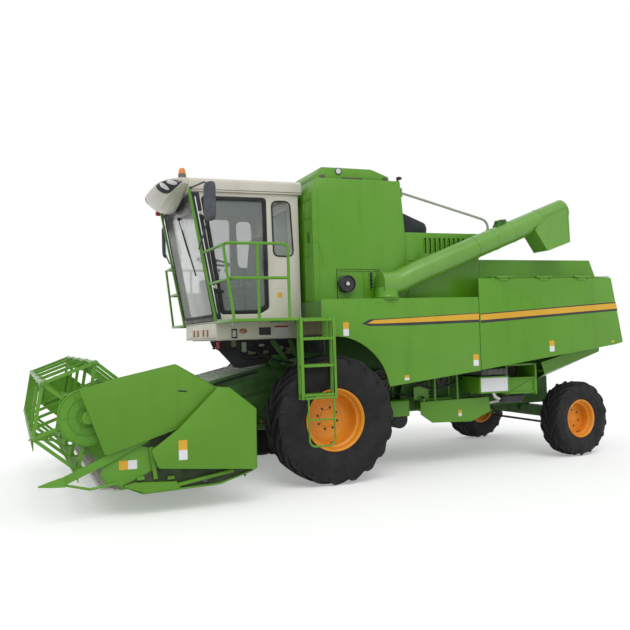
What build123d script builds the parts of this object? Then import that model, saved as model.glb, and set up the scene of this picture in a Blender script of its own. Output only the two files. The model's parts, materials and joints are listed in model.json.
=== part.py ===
# Self-propelled combine harvester: wheeled chassis, threshing body, grain tank, cab,
# unloading auger and a grain header with a tined reel, as an assembly of separate pieces.
# Millimetres, +X forward, +Y to the machine's left, +Z up. Everything is laid out from the
# ground point under the front axle, then moved so that the origin is the middle of the
# machine's bounding box, on the ground.
from build123d import *
from math import atan2, cos, degrees, pi, radians, sin, tan
import os

os.makedirs("parts", exist_ok=True)

# Driving dimensions

# wheels
front_wheel_radius = 728
front_tyre_width = 470
front_wheel_y = 1278
front_rim_radius = 355
front_hub_radius = 95
rear_wheel_radius = 485
rear_tyre_width = 315
rear_wheel_y = 1122
rear_rim_radius = 250
rear_hub_radius = 60
arm_back = 170
wheelbase = 3525
kingpin_y = 890
steer_at_rest = 8
running_gap = 0.5
seat_gap = 0.3

# body
body_half = 650
body_bottom = 780
body_top = 2080
body_front = 150
body_rear = -2000
panel_out = 1380
panel_wall = 15
hood_half = 1100
hood_top = 2575
hood_rear = -(wheelbase + 595)
hood_wall = 18
hood_bend_x = -(wheelbase - 225)
hood_bend_z = 962
hood_lip_x = -(wheelbase + 755)
hood_lip_z = 1395
lid_top = 2318
lid_corner = -(wheelbase + 675)
lid_rear = -(wheelbase + 515)
panel_seam = -1985
panel_front = 95
deck_top = 2905
deck_rear = -2195
sheet = 12

# grain tank
tank_half = 1100
tank_front = 60
tank_rear = -1150
tank_top = 3530
cover_top = 3670
cover_half = 880

# frame
rail_y = 480
rail_wide = 100
rail_high = 120
rail_front = 400
rail_rear = -(wheelbase + 115)

# cab
cab_half = 800
cab_wall = 40
cab_rear = 120
cab_front_low = 1180
cab_front_high = 1430
cab_floor = 1880
cab_base_bottom = 1665
roof_low = 3370
roof_top = 3515
roof_front = 1450
roof_crown = 3530
visor_front = 1772
visor_low = 3225
visor_top = 3565
beacon_x = 1490
beacon_y = 690
glass_wall = 8
glass_gap = 0.3

# platform, rails and ladder
walk_half = 1640
walk_rear = 30
walk_front = 1200
walk_wall = 18
hand_rail_top = 2680
hand_rail_mid = 2310
hand_rail_radius = 16
ladder_out = 1632
ladder_deep = 95
ladder_front = 430
ladder_rear = 50
ladder_bottom = 985
ladder_hoop_bottom = 480

# unloading auger
auger_x = -790
auger_y = 1262
auger_turret_radius = 148
auger_turret_bottom = 2098
auger_turret_top = 2225
auger_tube_radius = 122
auger_axis_z = 2281
auger_bend_x = -850
auger_rise = 20.6
auger_end_x = -3440

# feeder house
feeder_half = 560
feeder_pivot_x = 260
feeder_pivot_z = 1190
feeder_shaft_radius = 40
feeder_front = 1240

# header
header_half = 1900
end_sheet = 12
screw_x = 1650
screw_z = 590
screw_tube_radius = 140
screw_flight_radius = 245
screw_half = header_half - 40
flight_pitch = 500
trough_gap = 25
trough_top = 1180
knife_x = 2440
knife_z = 262
finger_pitch = 76
finger_long = 130
tip_x = 3170
tip_z = 370

# reel
reel_x = 2710
reel_z = 975
reel_radius = 520
reel_half = header_half - 70
reel_tube_radius = 50
reel_shaft_radius = 25
reel_disc_radius = 275
bat_count = 6
bat_wide = 46
tine_long = 110
tine_pitch = 150
reel_turn = 10
arm_pivot_x = 1520
arm_pivot_z = 1120
arm_y = header_half + 28
arm_wall = 36

# lift cylinders of the header
lift_y = 340
lift_base_x = 385
lift_base_z = 590
lift_eye_x = 985
lift_eye_z = 590
lift_barrel_radius = 45
lift_rod_radius = 25
lift_pin_radius = 20

upright = (Align.CENTER, Align.CENTER, Align.MIN)
across = Plane(origin=(0, 0, 0), x_dir=(1, 0, 0), z_dir=(0, -1, 0))
along = Plane(origin=(0, 0, 0), x_dir=(0, 1, 0), z_dir=(1, 0, 0))
pieces = {}
pivots = {}


# Shape helpers

def block(x_low, x_high, y_low, y_high, z_low, z_high):
    """A box between two corners."""
    middle = ((x_low + x_high) / 2, (y_low + y_high) / 2, (z_low + z_high) / 2)
    return Pos(*middle) * Box(abs(x_high - x_low), abs(y_high - y_low), abs(z_high - z_low))


def face_of(points, radius=0):
    """A flat outline with its corners rounded by one radius."""
    face = make_face(Polyline(*points, close=True))
    return fillet(face.vertices(), radius) if radius else face


def side_slab(points, y_low, y_high, radius=0):
    """An outline of (x, z) points, thick from y_low to y_high."""
    solid = extrude(face_of(points, radius), amount=y_high - y_low)
    return Pos(0, y_high, 0) * (across * solid)


def front_slab(points, x_low, x_high, radius=0):
    """An outline of (y, z) points, thick from x_low to x_high."""
    solid = extrude(face_of(points, radius), amount=x_high - x_low)
    return Pos(x_low, 0, 0) * (along * solid)


def bar(start, end, radius):
    """A round bar between two points."""
    run = Vector(end) - Vector(start)
    return Plane(origin=start, z_dir=run) * Cylinder(radius, run.length, align=upright)


def bent_bar(points, radius, bend):
    """A round bar along straight runs with rounded corners."""
    path = FilletPolyline(*points, radius=bend)
    start = Plane(origin=path @ 0, z_dir=path % 0)
    return sweep(start * Circle(radius), path=path)


def y_disc(x, z, radius, y_low, y_high):
    """A disc across the machine."""
    return bar((x, y_low, z), (x, y_high, z), radius)


def mirrored(solid):
    """The same piece on the machine's right."""
    return mirror(solid, about=Plane.XZ)


def both(solid):
    """A left piece and its right twin."""
    return [solid, mirrored(solid)]


def skin(rings):
    """A solid through rings of corner points, with a flat cap at each end."""
    faces = []
    count = len(rings[0])
    for lower, upper in zip(rings[:-1], rings[1:]):
        for i in range(count):
            j = (i + 1) % count
            faces.append(Face(Wire.make_polygon([lower[i], lower[j], upper[j]])))
            faces.append(Face(Wire.make_polygon([lower[i], upper[j], upper[i]])))
    for ring in (rings[0], rings[-1]):
        for i in range(1, count - 1):
            faces.append(Face(Wire.make_polygon([ring[0], ring[i], ring[i + 1]])))
    return Solid(Shell(faces))


def spun(profile):
    """A ring from an outline of (y, radius) points, turned about the Y axis."""
    face = make_face(Polyline(*[(0, y, r) for y, r in profile], close=True))
    return revolve(face, axis=Axis.Y)


def keep(name, *solids):
    """Store the solids of one node."""
    flat = []
    for solid in solids:
        flat.extend(solid if isinstance(solid, list) else [solid])
    pieces[name] = flat


# Chassis

def build_chassis():
    rail_low = body_bottom - rail_high
    axle_half_x = 110
    frame = None
    for side in (-1, 1):
        near = side * (rail_y - rail_wide / 2)
        far = side * (rail_y + rail_wide / 2)
        for x_low, x_high in ((axle_half_x, rail_front), (rail_rear, -axle_half_x)):
            rail = block(x_low, x_high, min(near, far), max(near, far), rail_low, body_bottom)
            frame = rail if frame is None else frame + rail
    gap_half = rail_y - rail_wide / 2
    for x in (rail_front - 60, -900, body_rear + 60, -2750):
        frame += block(x - 50, x + 50, -gap_half, gap_half, rail_low, body_bottom)
    # rear cross member with the axle's pivot bracket and its post up to the hood
    x = -wheelbase
    frame += block(x - 110, x + 110, -gap_half, gap_half, rail_low, body_bottom)
    for dx in (-95, 95):
        frame += block(x + dx - 12, x + dx + 12, -90, 90, 520, rail_low)
    frame += hood_posts(x)
    keep("chassis_frame", frame)
    # front axle: beam between the rails, final drives and hubs
    beam = block(-axle_half_x, axle_half_x, -760, 760, rail_low - 20, body_bottom - 2)
    for side in (-1, 1):
        beam += y_disc(0, front_wheel_radius, 240, side * 730, side * 930)
        beam += y_disc(0, front_wheel_radius, 130, side * 900, side * 1010)
        beam += y_disc(0, front_wheel_radius, front_hub_radius, side * 1000, side * 1215)
        beam += block(-axle_half_x, axle_half_x, side * 560, side * 740, 560, body_bottom - 2)
    keep("front_axle", beam)


def hood_posts(x):
    """The uprights that carry the hood's rear on the frame."""
    post = None
    for side in (-1, 1):
        y_low = side * rail_y - 40
        leg = side_slab([(x - 90, body_bottom), (x + 160, body_bottom),
                         (x + 160, 945), (x - 90, 1065)], y_low, y_low + 80)
        post = leg if post is None else post + leg
    return post


def build_rear_axle():
    x = -wheelbase
    beam_low, beam_high = 470, 610
    pin_z = 545
    beam = front_slab([(-830, 440), (-700, beam_low), (700, beam_low), (830, 440),
                       (830, 560), (700, beam_high), (-700, beam_high), (-830, 560)],
                      x - 70, x + 70)
    for side in (-1, 1):
        beam += Pos(x, side * kingpin_y, 440) * Cylinder(48, 120, align=upright)
        beam += block(x - 45, x + 45, side * 800, side * (kingpin_y - 20), 440, 560)
    beam -= bar((x - 80, 0, pin_z), (x + 80, 0, pin_z), 30 + running_gap)
    pin = bar((x - 83, 0, pin_z), (x + 83, 0, pin_z), 30)
    for side in (-1, 1):
        beam -= Pos(x, side * kingpin_y, 430) * Cylinder(22 + running_gap, 150, align=upright)
    keep("rear_axle", beam, pin)
    for name, side in (("left", 1), ("right", -1)):
        turn = steer_turn(side)
        knuckle = Pos(x, side * kingpin_y, 400) * Cylinder(22, 200, align=upright)
        for z_low in (415, 565):
            knuckle += Pos(x, side * kingpin_y, z_low) * Cylinder(46, 20, align=upright)
            z_high = z_low + 20
            knuckle += block(x - 40, x + 40, side * kingpin_y, side * 970, z_low, z_high)
        knuckle += block(x - 40, x + 40, side * 946, side * 974, 415, 585)
        knuckle += y_disc(x, rear_wheel_radius, rear_hub_radius, side * 960, side * 1090)
        # steering arm, level and pointing back
        knuckle += block(x - arm_back, x, side * kingpin_y - 30, side * kingpin_y + 30, 385, 402)
        knuckle += Pos(x - arm_back, side * kingpin_y, 385) * Cylinder(30, 17, align=upright)
        knuckle -= Pos(x - arm_back, side * kingpin_y, 375) * Cylinder(14 + running_gap, 40, align=upright)
        keep("knuckle_" + name, turn * knuckle)
    # tie rod under the arms, with a ball stud up through each
    moved = Vector(-arm_back * cos(radians(steer_at_rest)), -arm_back * sin(radians(steer_at_rest)))
    rod_z = 352
    rod = bar((x + moved.X, -kingpin_y + moved.Y, rod_z), (x + moved.X, kingpin_y + moved.Y, rod_z), 16)
    for side in (-1, 1):
        rod += Pos(x + moved.X, side * kingpin_y + moved.Y, rod_z - 20) * Cylinder(26, 32.5, align=upright)
        rod += Pos(x + moved.X, side * kingpin_y + moved.Y, rod_z) * Cylinder(14, 55, align=upright)
    keep("tie_rod", rod)
    pivots["tie_rod"] = (x + moved.X, kingpin_y + moved.Y, rod_z)
    pivots["steering"] = (x, kingpin_y, rear_wheel_radius)


def steer_turn(side):
    """Turn about the kingpin of one side by the steering angle at rest."""
    x, y = -wheelbase, side * kingpin_y
    return Pos(x, y, 0) * Rot(0, 0, steer_at_rest) * Pos(-x, -y, 0)


# Wheels

def tyre_lug(radius, width, angle, span, side, wide):
    """One chevron lug from the middle of the tread over the shoulder."""
    sunk = radius * 0.965
    # columns: share of the half width, outer radius, angle along the lug
    stations = [(0.04, radius, 0.0), (0.80, radius * 0.995, 0.8), (0.99, radius * 0.955, 1.0)]
    rings = []
    for share, outer, turn in stations:
        y = side * share * width / 2
        inner = min(sunk, outer - radius * 0.03)
        a = angle + span * turn
        half = wide / radius / 2
        ring = []
        for r, da in ((inner, -half), (outer, -half * 0.8), (outer, half * 0.8), (inner, half)):
            ring.append((r * cos(a + da), y, r * sin(a + da)))
        rings.append(ring if side > 0 else ring[::-1])
    return skin(rings)


def tyre(radius, width, bead, lugs, lug_wide):
    """A tractor tyre: carcass with straight-sided sections, and chevron lugs."""
    tread = radius * 0.955
    half = width / 2
    bead_y = half * 0.80
    profile = [(-bead_y, bead), (-half, bead + (tread - bead) * 0.38), (-half, bead + (tread - bead) * 0.62),
               (-half * 0.93, tread - radius * 0.035), (-half * 0.55, tread),
               (half * 0.55, tread), (half * 0.93, tread - radius * 0.035),
               (half, bead + (tread - bead) * 0.62), (half, bead + (tread - bead) * 0.38), (bead_y, bead),
               (bead_y - 28, bead), (half * 0.85, bead + (tread - bead) * 0.45),
               (half * 0.75, tread - 38), (-half * 0.75, tread - 38),
               (-half * 0.85, bead + (tread - bead) * 0.45), (-bead_y + 28, bead)]
    carcass = spun(profile)
    step = 2 * pi / lugs
    first = -pi / 2 - 0.4 * lug_wide / radius
    bars = []
    for i in range(lugs):
        bars.append(tyre_lug(radius, width, first + i * step, step * 1.5, 1, lug_wide))
        bars.append(tyre_lug(radius, width, first + (i + 0.5) * step, step * 1.5, -1, lug_wide))
    return carcass + bars


def rim(radius, seat, width, hub, disc_y, dish):
    """A pressed wheel rim, open outwards: flanges, drop centre and dished disc."""
    half = width / 2
    wall = 10
    profile = [(-half, radius), (-half + 16, radius), (-half + 20, seat), (-half + 70, seat - 4),
               (-half + 95, seat - 34), (half - 130, seat - 34), (half - 100, seat - 4), (half - 20, seat),
               (half - 16, radius), (half, radius), (half - 4, seat - wall), (half - 90, seat - wall - 6),
               (half - 120, seat - 34 - wall), (disc_y + dish + 14, seat - 34 - wall),
               (disc_y + 14, seat * 0.62), (disc_y + 14, hub + running_gap), (disc_y, hub + running_gap),
               (disc_y, seat * 0.62), (disc_y + dish, seat - 34 - wall), (-half + 100, seat - 34 - wall),
               (-half + 80, seat - wall - 4), (-half + 4, seat - wall)]
    return spun(profile)


def build_wheels():
    # columns: place, radius, tyre width, wheel y, rim radius, seat, rim width, hub, disc y, dish, lugs, lug width
    rows = [("front", front_wheel_radius, front_tyre_width, front_wheel_y, front_rim_radius, 330, 400,
             front_hub_radius, -95, 30, 19, 62),
            ("rear", rear_wheel_radius, rear_tyre_width, rear_wheel_y, rear_rim_radius, 229, 270,
             rear_hub_radius, -62, 22, 17, 46)]
    for place, radius, wide, y, flange, seat, rim_wide, hub, disc_y, dish, lugs, lug_wide in rows:
        x = 0 if place == "front" else -wheelbase
        rubber = tyre(radius, wide, flange + 0.4, lugs, lug_wide)
        steel = rim(flange, seat, rim_wide, hub, disc_y, dish)
        for name, side in (("left", 1), ("right", -1)):
            for kind, solid in (("tyre", rubber), ("rim", steel)):
                solid = solid if side > 0 else mirrored(solid)
                solid = Pos(x, side * y, radius) * solid
                if place == "rear":
                    solid = steer_turn(side) * solid
                keep(f"{place}_{kind}_{name}", solid)
        pivots[f"{place}_wheel"] = (x, y, radius)


# Body

def build_body():
    # threshing body between the wheels, with the brackets of the feeder's shaft
    body = side_slab([(body_front, body_bottom), (body_front, 1655), (tank_front, 1655), (tank_front, body_top),
                      (body_rear, body_top), (body_rear, body_bottom)], -body_half, body_half)
    for side in (-1, 1):
        y_low = min(side * (feeder_half + 12), side * body_half)
        lug = side_slab([(body_front - 5, 1080), (feeder_pivot_x + 10, 1120), (feeder_pivot_x + 70, 1190),
                         (feeder_pivot_x + 10, 1260), (body_front - 5, 1300)], y_low, y_low + 78)
        body += lug
    body -= y_disc(feeder_pivot_x, feeder_pivot_z, feeder_shaft_radius + running_gap, -700, 700)
    keep("threshing_body", body)
    # straw hood: narrow walls with a rising floor and a closed rear, open below its rear half
    split_z = body_top - 60
    outline = [(body_rear - 2, split_z - seat_gap), (body_rear - 2, body_bottom), (-2900, 860), (hood_bend_x, hood_bend_z),
               (hood_lip_x, hood_lip_z), (hood_rear - 40, split_z - seat_gap)]
    inner = [(body_rear - 100, split_z - 30), (body_rear - 100, 830), (-2890, 905), (hood_bend_x + 40, hood_bend_z + 33),
             (hood_bend_x - 100, hood_bend_z + 23), (hood_lip_x + 22, hood_lip_z - 31), (hood_rear - 20, split_z - 30)]
    hood = side_slab(outline, -body_half, body_half)
    hood -= side_slab(inner, -body_half + hood_wall, body_half - hood_wall)
    keep("straw_hood", hood)
    # wide top above it, with a shelf along each side for the lids' hinges
    top = side_slab([(body_rear - 2, split_z), (hood_rear - 40, split_z), (lid_rear + 105, hood_top),
                     (deck_rear - 2, hood_top), (deck_rear - 2, body_top), (body_rear - 2, body_top)],
                    -hood_half, hood_half)
    shelf_z = lid_top + 8
    for side in (-1, 1):
        y_low, y_high = sorted((side * hood_half, side * (panel_out - 18)))
        top += block(lid_rear + 10, deck_rear - 2, y_low, y_high, shelf_z, shelf_z + sheet)
    # front side panels with the wheel arch, and the shelf that carries them
    edge = [Line((panel_front, 1665), (panel_front, body_top)), Line((panel_front, body_top), (panel_seam, body_top)),
            Line((panel_seam, body_top), (panel_seam, 1192)), Line((panel_seam, 1192), (-740, 1062)),
            ThreePointArc((-740, 1062), (-540, 1450), (-90, 1665)), Line((-90, 1665), (panel_front, 1665))]
    panel = extrude(make_face(Wire(edge)), amount=panel_wall)
    panel = Pos(0, panel_out, 0) * (across * panel)
    panel += block(panel_seam, tank_front, body_half, panel_out, body_top - sheet, body_top)
    panel += block(tank_front - panel_wall, tank_front, body_half, panel_out, 1665, body_top)
    keep("front_panels", both(panel))
    # side lids, hinged along their top edge
    lid = side_slab([(panel_seam - 8, lid_top), (lid_rear, lid_top), (lid_corner, 1465), (lid_corner + 140, 1440),
                     (panel_seam - 8, 1196)], panel_out - panel_wall, panel_out)
    hinge_y, hinge_z = panel_out + 14, lid_top + 14
    root_barrels = None
    for x in (-2300, -2900, -3500):
        lid += bar((x, hinge_y, hinge_z), (x - 120, hinge_y, hinge_z), 12)
        lid += block(x - 120, x, panel_out - 10, hinge_y, lid_top - 30, hinge_z - 4)
        for dx in (0.5, -180.5):
            barrel = bar((x + dx, hinge_y, hinge_z), (x + dx + 60, hinge_y, hinge_z), 12)
            barrel += block(x + dx, x + dx + 60, panel_out - 22, hinge_y, shelf_z + 1, shelf_z + sheet)
            root_barrels = barrel if root_barrels is None else root_barrels + barrel
    keep("left_lid", lid)
    keep("right_lid", mirrored(lid))
    keep("hood_top", top + root_barrels + mirrored(root_barrels))
    pivots["lid"] = (panel_seam, hinge_y, hinge_z)


def build_deck():
    """Engine compartment behind the tank: walls with upright louvre slots and a lid sheet."""
    low = body_top
    shell = block(deck_rear, tank_rear - 2, -hood_half, hood_half, low, deck_top)
    shell -= block(deck_rear + sheet, tank_rear - 2 - sheet, -hood_half + sheet, hood_half - sheet,
                   low + sheet, deck_top - sheet)
    slot_wide, slot_high, slot_step = 34, 190, 68
    for i in range(9):
        x = tank_rear - 260 - i * slot_step
        shell -= block(x - slot_wide, x, -hood_half - 5, hood_half + 5, 2650, 2650 + slot_high)
    keep("engine_deck", shell)
    keep("engine_block", block(-2080, -1290, -330, 330, low + sheet, 2760))
    duct = side_slab([(tank_rear - 4, deck_top), (tank_rear - 4, 3270), (-1353, 3190), (-1637, 3078),
                      (-1660, 3012), (-1645, deck_top)], 330, 820)
    keep("air_intake", duct)


def build_tank():
    outer = [(tank_front, body_top), (tank_front, 3330), (tank_front - 70, tank_top), (tank_rear + 45, tank_top),
             (tank_rear, 2890), (tank_rear, body_top)]
    inner = [(tank_front - sheet, body_top + sheet), (tank_front - sheet, 3325),
             (tank_front - 78, tank_top - sheet), (tank_rear + 56, tank_top - sheet),
             (tank_rear + sheet, 2890), (tank_rear + sheet, body_top + sheet)]
    tank = side_slab(outer, -tank_half, tank_half)
    tank -= side_slab(inner, -tank_half + sheet, tank_half - sheet)
    tank -= block(-900, -90, -cover_half + 60, cover_half - 60, tank_top - 60, tank_top + 10)
    # recess of the cross auger's drive, with its sheave on the left side
    tank += y_disc(-330, 2275, 105, tank_half, tank_half + 90)
    # turret flange of the unloading auger, on the shelf beside the tank
    tank += block(auger_x - 150, auger_x + 150, tank_half - 5, auger_y, body_top, auger_turret_bottom - 5.5)
    tank += Pos(auger_x, auger_y, body_top) * Cylinder(auger_turret_radius + 14,
                                                        auger_turret_bottom - 5.5 - body_top, align=upright)
    spigot = auger_turret_radius - 60
    tank += Pos(auger_x, auger_y, body_top) * Cylinder(spigot, 55, align=upright)
    keep("grain_tank", tank)
    low = tank_top + seat_gap
    cover = side_slab([(tank_front - 70, low), (-60, cover_top - 12), (-720, cover_top), (-960, low)],
                      -cover_half, cover_half)
    cover -= side_slab([(tank_front - 100, low - 1), (-70, cover_top - 26), (-712, cover_top - 14),
                        (-935, low - 1)], -cover_half + sheet, cover_half - sheet)
    keep("tank_cover", cover)


def build_unloader():
    rise = radians(auger_rise)
    bend_z = auger_axis_z
    end_z = bend_z + (auger_bend_x - auger_end_x) * tan(rise)
    turret = Pos(auger_x, auger_y, auger_turret_bottom) * Cylinder(
        auger_turret_radius, auger_turret_top - auger_turret_bottom, align=upright)
    turret -= Pos(auger_x, auger_y, auger_turret_bottom - 1) * Cylinder(
        auger_turret_radius - 60 + running_gap, 44, align=upright)
    nose_x = auger_x + 85
    tube = bar((nose_x, auger_y, bend_z), (auger_bend_x, auger_y, bend_z), auger_tube_radius)
    tube += bar((nose_x, auger_y, bend_z), (nose_x - 12, auger_y, bend_z), auger_tube_radius + 8)
    tube += Pos(auger_bend_x, auger_y, bend_z) * Sphere(auger_tube_radius)
    tube += bar((auger_bend_x, auger_y, bend_z), (auger_end_x, auger_y, end_z), auger_tube_radius)
    # spout hanging from the tube's end
    spout = side_slab([(auger_end_x + 523, end_z - 325), (auger_end_x + 355, end_z - 134), (auger_end_x - 3, end_z + 10),
                       (auger_end_x - 14, end_z - 470), (auger_end_x + 342, end_z - 589)],
                      auger_y - 150, auger_y + 150)
    spout -= side_slab([(auger_end_x + 470, end_z - 350), (auger_end_x + 340, end_z - 152), (auger_end_x + 9, end_z - 15),
                        (auger_end_x - 2, end_z - 500), (auger_end_x + 310, end_z - 640)],
                       auger_y - 138, auger_y + 138)
    keep("unloading_auger", turret + tube + spout)
    # stay from the tank's rear to a rest beside the tube
    rest_x = -2360
    rest_z = bend_z + (auger_bend_x - rest_x) * tan(rise)
    pad_y = auger_y - auger_tube_radius - 12
    stay = bar((tank_rear + 20, tank_half - 60, 3400), (rest_x, pad_y - 14, rest_z + 90), 14)
    lean = 45 / (tank_top - 2890)
    foot_x = tank_rear + lean * (3340 - 2890) - seat_gap
    stay += side_slab([(foot_x - 14, 3340), (foot_x, 3340), (foot_x + lean * 120, 3460), (foot_x + lean * 120 - 14, 3460)],
                      tank_half - 110, tank_half - 20)
    stay += block(rest_x - 40, rest_x + 40, pad_y - 24, pad_y, rest_z - 40, rest_z + 120)
    keep("auger_stay", stay)
    pivots["unloader"] = (auger_x, auger_y, auger_turret_bottom)


# Cab

def cab_side_front(z):
    """The windscreen line: how far forward the cab reaches at a height."""
    share = (z - cab_floor) / (roof_low - cab_floor)
    return cab_front_low + share * (cab_front_high - cab_front_low)


def build_cab():
    # base with its skirts, open below
    base = block(cab_rear + 60, cab_front_low - 10, -cab_half - 20, cab_half + 20, cab_base_bottom, cab_floor)
    base -= block(cab_rear + 72, cab_front_low - 22, -cab_half - 8, cab_half + 8, cab_base_bottom - 1, cab_floor - 30)
    for side in (-1, 1):
        y_low, y_high = sorted((side * 570, side * 690))
        base += block(tank_front + 5, cab_front_low - 60, y_low, y_high, cab_base_bottom - 10, cab_floor - 20)
    keep("cab_base", base)
    # walls: two sides, the rear and the frame round the windscreen
    outline = [(cab_rear, cab_floor), (cab_side_front(cab_floor), cab_floor),
               (cab_side_front(roof_low), roof_low), (cab_rear, roof_low)]
    inner = [(cab_rear + cab_wall, cab_floor - 5), (cab_side_front(cab_floor) + 200, cab_floor - 5),
             (cab_side_front(roof_low) + 200, roof_low + 5), (cab_rear + cab_wall, roof_low + 5)]
    shell = side_slab(outline, -cab_half, cab_half)
    shell -= side_slab(inner, -cab_half + cab_wall, cab_half - cab_wall)
    door = door_outline(0)
    shell -= side_slab(door, cab_half - cab_wall - 5, cab_half + 5, 45)
    window = [(205, 2640), (205 + 30, 3280), (450, 3280), (440, 2640)]
    shell -= side_slab(window, -cab_half - 5, cab_half + 5, 75)
    right = [(540, 2300), (cab_side_front(2300) - 90, 2300), (cab_side_front(3300) - 90, 3300), (540, 3300)]
    shell -= side_slab(right, -cab_half - 5, -cab_half + cab_wall + 5, 60)
    shell -= front_slab([(-500, 2450), (500, 2450), (500, 3250), (-500, 3250)], cab_rear - 5, cab_rear + cab_wall + 5, 60)
    keep("cab_walls", shell)
    # fixed glass: side windows, rear window and the windscreen
    shrink = glass_gap
    panes = []
    y_out = cab_half - cab_wall / 2
    pane = side_slab([(205 + shrink, 2640 + shrink), (235 + shrink, 3280 - shrink), (450 - shrink, 3280 - shrink),
                      (440 - shrink, 2640 + shrink)], y_out - glass_wall, y_out, 75)
    panes += [pane, mirrored(pane)]
    panes.append(side_slab([(x, z) for x, z in right], -y_out, -y_out + glass_wall, 60))
    panes.append(front_slab([(-500, 2450), (500, 2450), (500, 3250), (-500, 3250)],
                            cab_rear + cab_wall / 2, cab_rear + cab_wall / 2 + glass_wall, 60))
    screen_low, screen_high = cab_floor + 60, roof_low - 20
    front = [(cab_side_front(screen_low), screen_low), (cab_side_front(screen_high), screen_high),
             (cab_side_front(screen_high) - glass_wall, screen_high), (cab_side_front(screen_low) - glass_wall, screen_low)]
    panes.append(side_slab(front, -cab_half + cab_wall, cab_half - cab_wall))
    keep("cab_glass", panes)
    # roof, and its visor bulging out and down over the windscreen
    half = cab_half + 30
    roof = front_slab([(-half, roof_low), (half, roof_low), (half, roof_top), (half - 70, roof_crown),
                       (70 - half, roof_crown), (-half, roof_top)], cab_rear - 40, roof_front)
    plan = [Line((roof_front + seat_gap, -half), (1480, -half)),
            ThreePointArc((1480, -half), (visor_front, 0), (1480, half)),
            Line((1480, half), (roof_front + seat_gap, half)),
            Line((roof_front + seat_gap, half), (roof_front + seat_gap, -half))]
    visor = Pos(0, 0, visor_low) * extrude(make_face(Wire(plan)), amount=visor_top - visor_low)
    visor &= side_slab([(roof_front, visor_top), (visor_front - 130, visor_top), (visor_front - 32, visor_top - 30),
                        (visor_front, visor_top - 80), (visor_front - 26, 3418), (1638, 3290), (1560, 3240),
                        (1500, visor_low), (1458, visor_low), (1452, roof_low), (roof_front, roof_low)], -half, half)
    visor &= front_slab([(-half, 3300), (-half, roof_top), (70 - half, roof_crown), (-450, roof_crown), (-250, visor_top),
                         (250, visor_top), (450, roof_crown), (half - 70, roof_crown), (half, roof_top), (half, 3300),
                         (500, visor_low), (-500, visor_low)], roof_front, visor_front + 10)
    keep("cab_roof", roof, visor)
    keep("beacon", Pos(beacon_x, beacon_y, roof_crown) * Cylinder(46, 55, align=upright)
         + Pos(beacon_x, beacon_y, roof_crown + 55) * Cylinder(43, 75, align=upright))


def door_outline(shrink):
    """The door's outline, smaller all round by shrink; its front edge follows the screen pillar."""
    low, high, rear = 1955, 3325, 520
    front_low = cab_side_front(low) - 85
    front_high = cab_side_front(high) - 115
    return [(rear + shrink, low + shrink + 60), (rear + shrink + 110, low + shrink), (front_low - shrink, low + shrink),
            (front_high - shrink * 1.2, high - shrink), (rear + shrink, high - shrink)]


def build_door():
    frame = side_slab(door_outline(6), cab_half - cab_wall + 4, cab_half - 2, 40)
    frame -= side_slab(door_outline(46), cab_half - cab_wall, cab_half + 2, 30)
    # two hinge barrels outside the front edge, on the slanted line of the pillar
    lean = Vector(cab_front_high - cab_front_low, 0, roof_low - cab_floor).normalized()
    barrel_y = cab_half + 13
    barrels = None
    for z in (2200, 3050):
        base_x = cab_side_front(z) - 88
        start = Vector(base_x, barrel_y, z)
        low_half = bar(start, start + lean * 50, 11)
        frame += low_half
        frame += block(base_x - 80, base_x + 2, cab_half + 0.5, cab_half + 8, z + 6, z + 40)
        frame += block(base_x - 80, base_x - 45, cab_half - 6, cab_half + 2, z + 6, z + 40)
        top_half = bar(start + lean * 50.5, start + lean * 100, 11)
        top_half += block(base_x + 6, base_x + 60, cab_half - 2, cab_half + 8, z + 58, z + 92)
        barrels = top_half if barrels is None else barrels + top_half
        if z == 2200:
            pivots["door"] = (base_x, barrel_y, z)
            pivots["door_direction"] = (lean.X, lean.Y, lean.Z)
    keep("cab_door", frame)
    pieces["cab_walls"] = [pieces["cab_walls"][0] + barrels]
    keep("door_glass", side_slab(door_outline(46.4), cab_half - cab_wall / 2 - glass_wall, cab_half - cab_wall / 2, 30))


def build_cab_inside():
    seat = block(420, 900, -240, 240, cab_floor, 2180)
    seat += block(400, 920, -260, 260, 2180, 2320)
    seat += side_slab([(400, 2300), (520, 2300), (440, 2950), (340, 2950)], -240, 240)
    keep("seat", seat)
    column = bar((1075, 0, cab_floor + 30), (977, 0, 2650), 45)
    column += block(1010, 1140, -90, 90, cab_floor, cab_floor + 60)
    wheel = Pos(975, 0, 2640) * (Rot(0, -12, 0) * Torus(200, 14))
    spokes = bar((975, -195, 2640), (975, 195, 2640), 12)
    console = block(520, 1020, -620, -420, cab_floor, 2450)
    keep("steering_column", column + wheel + spokes)
    keep("console", console)


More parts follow.
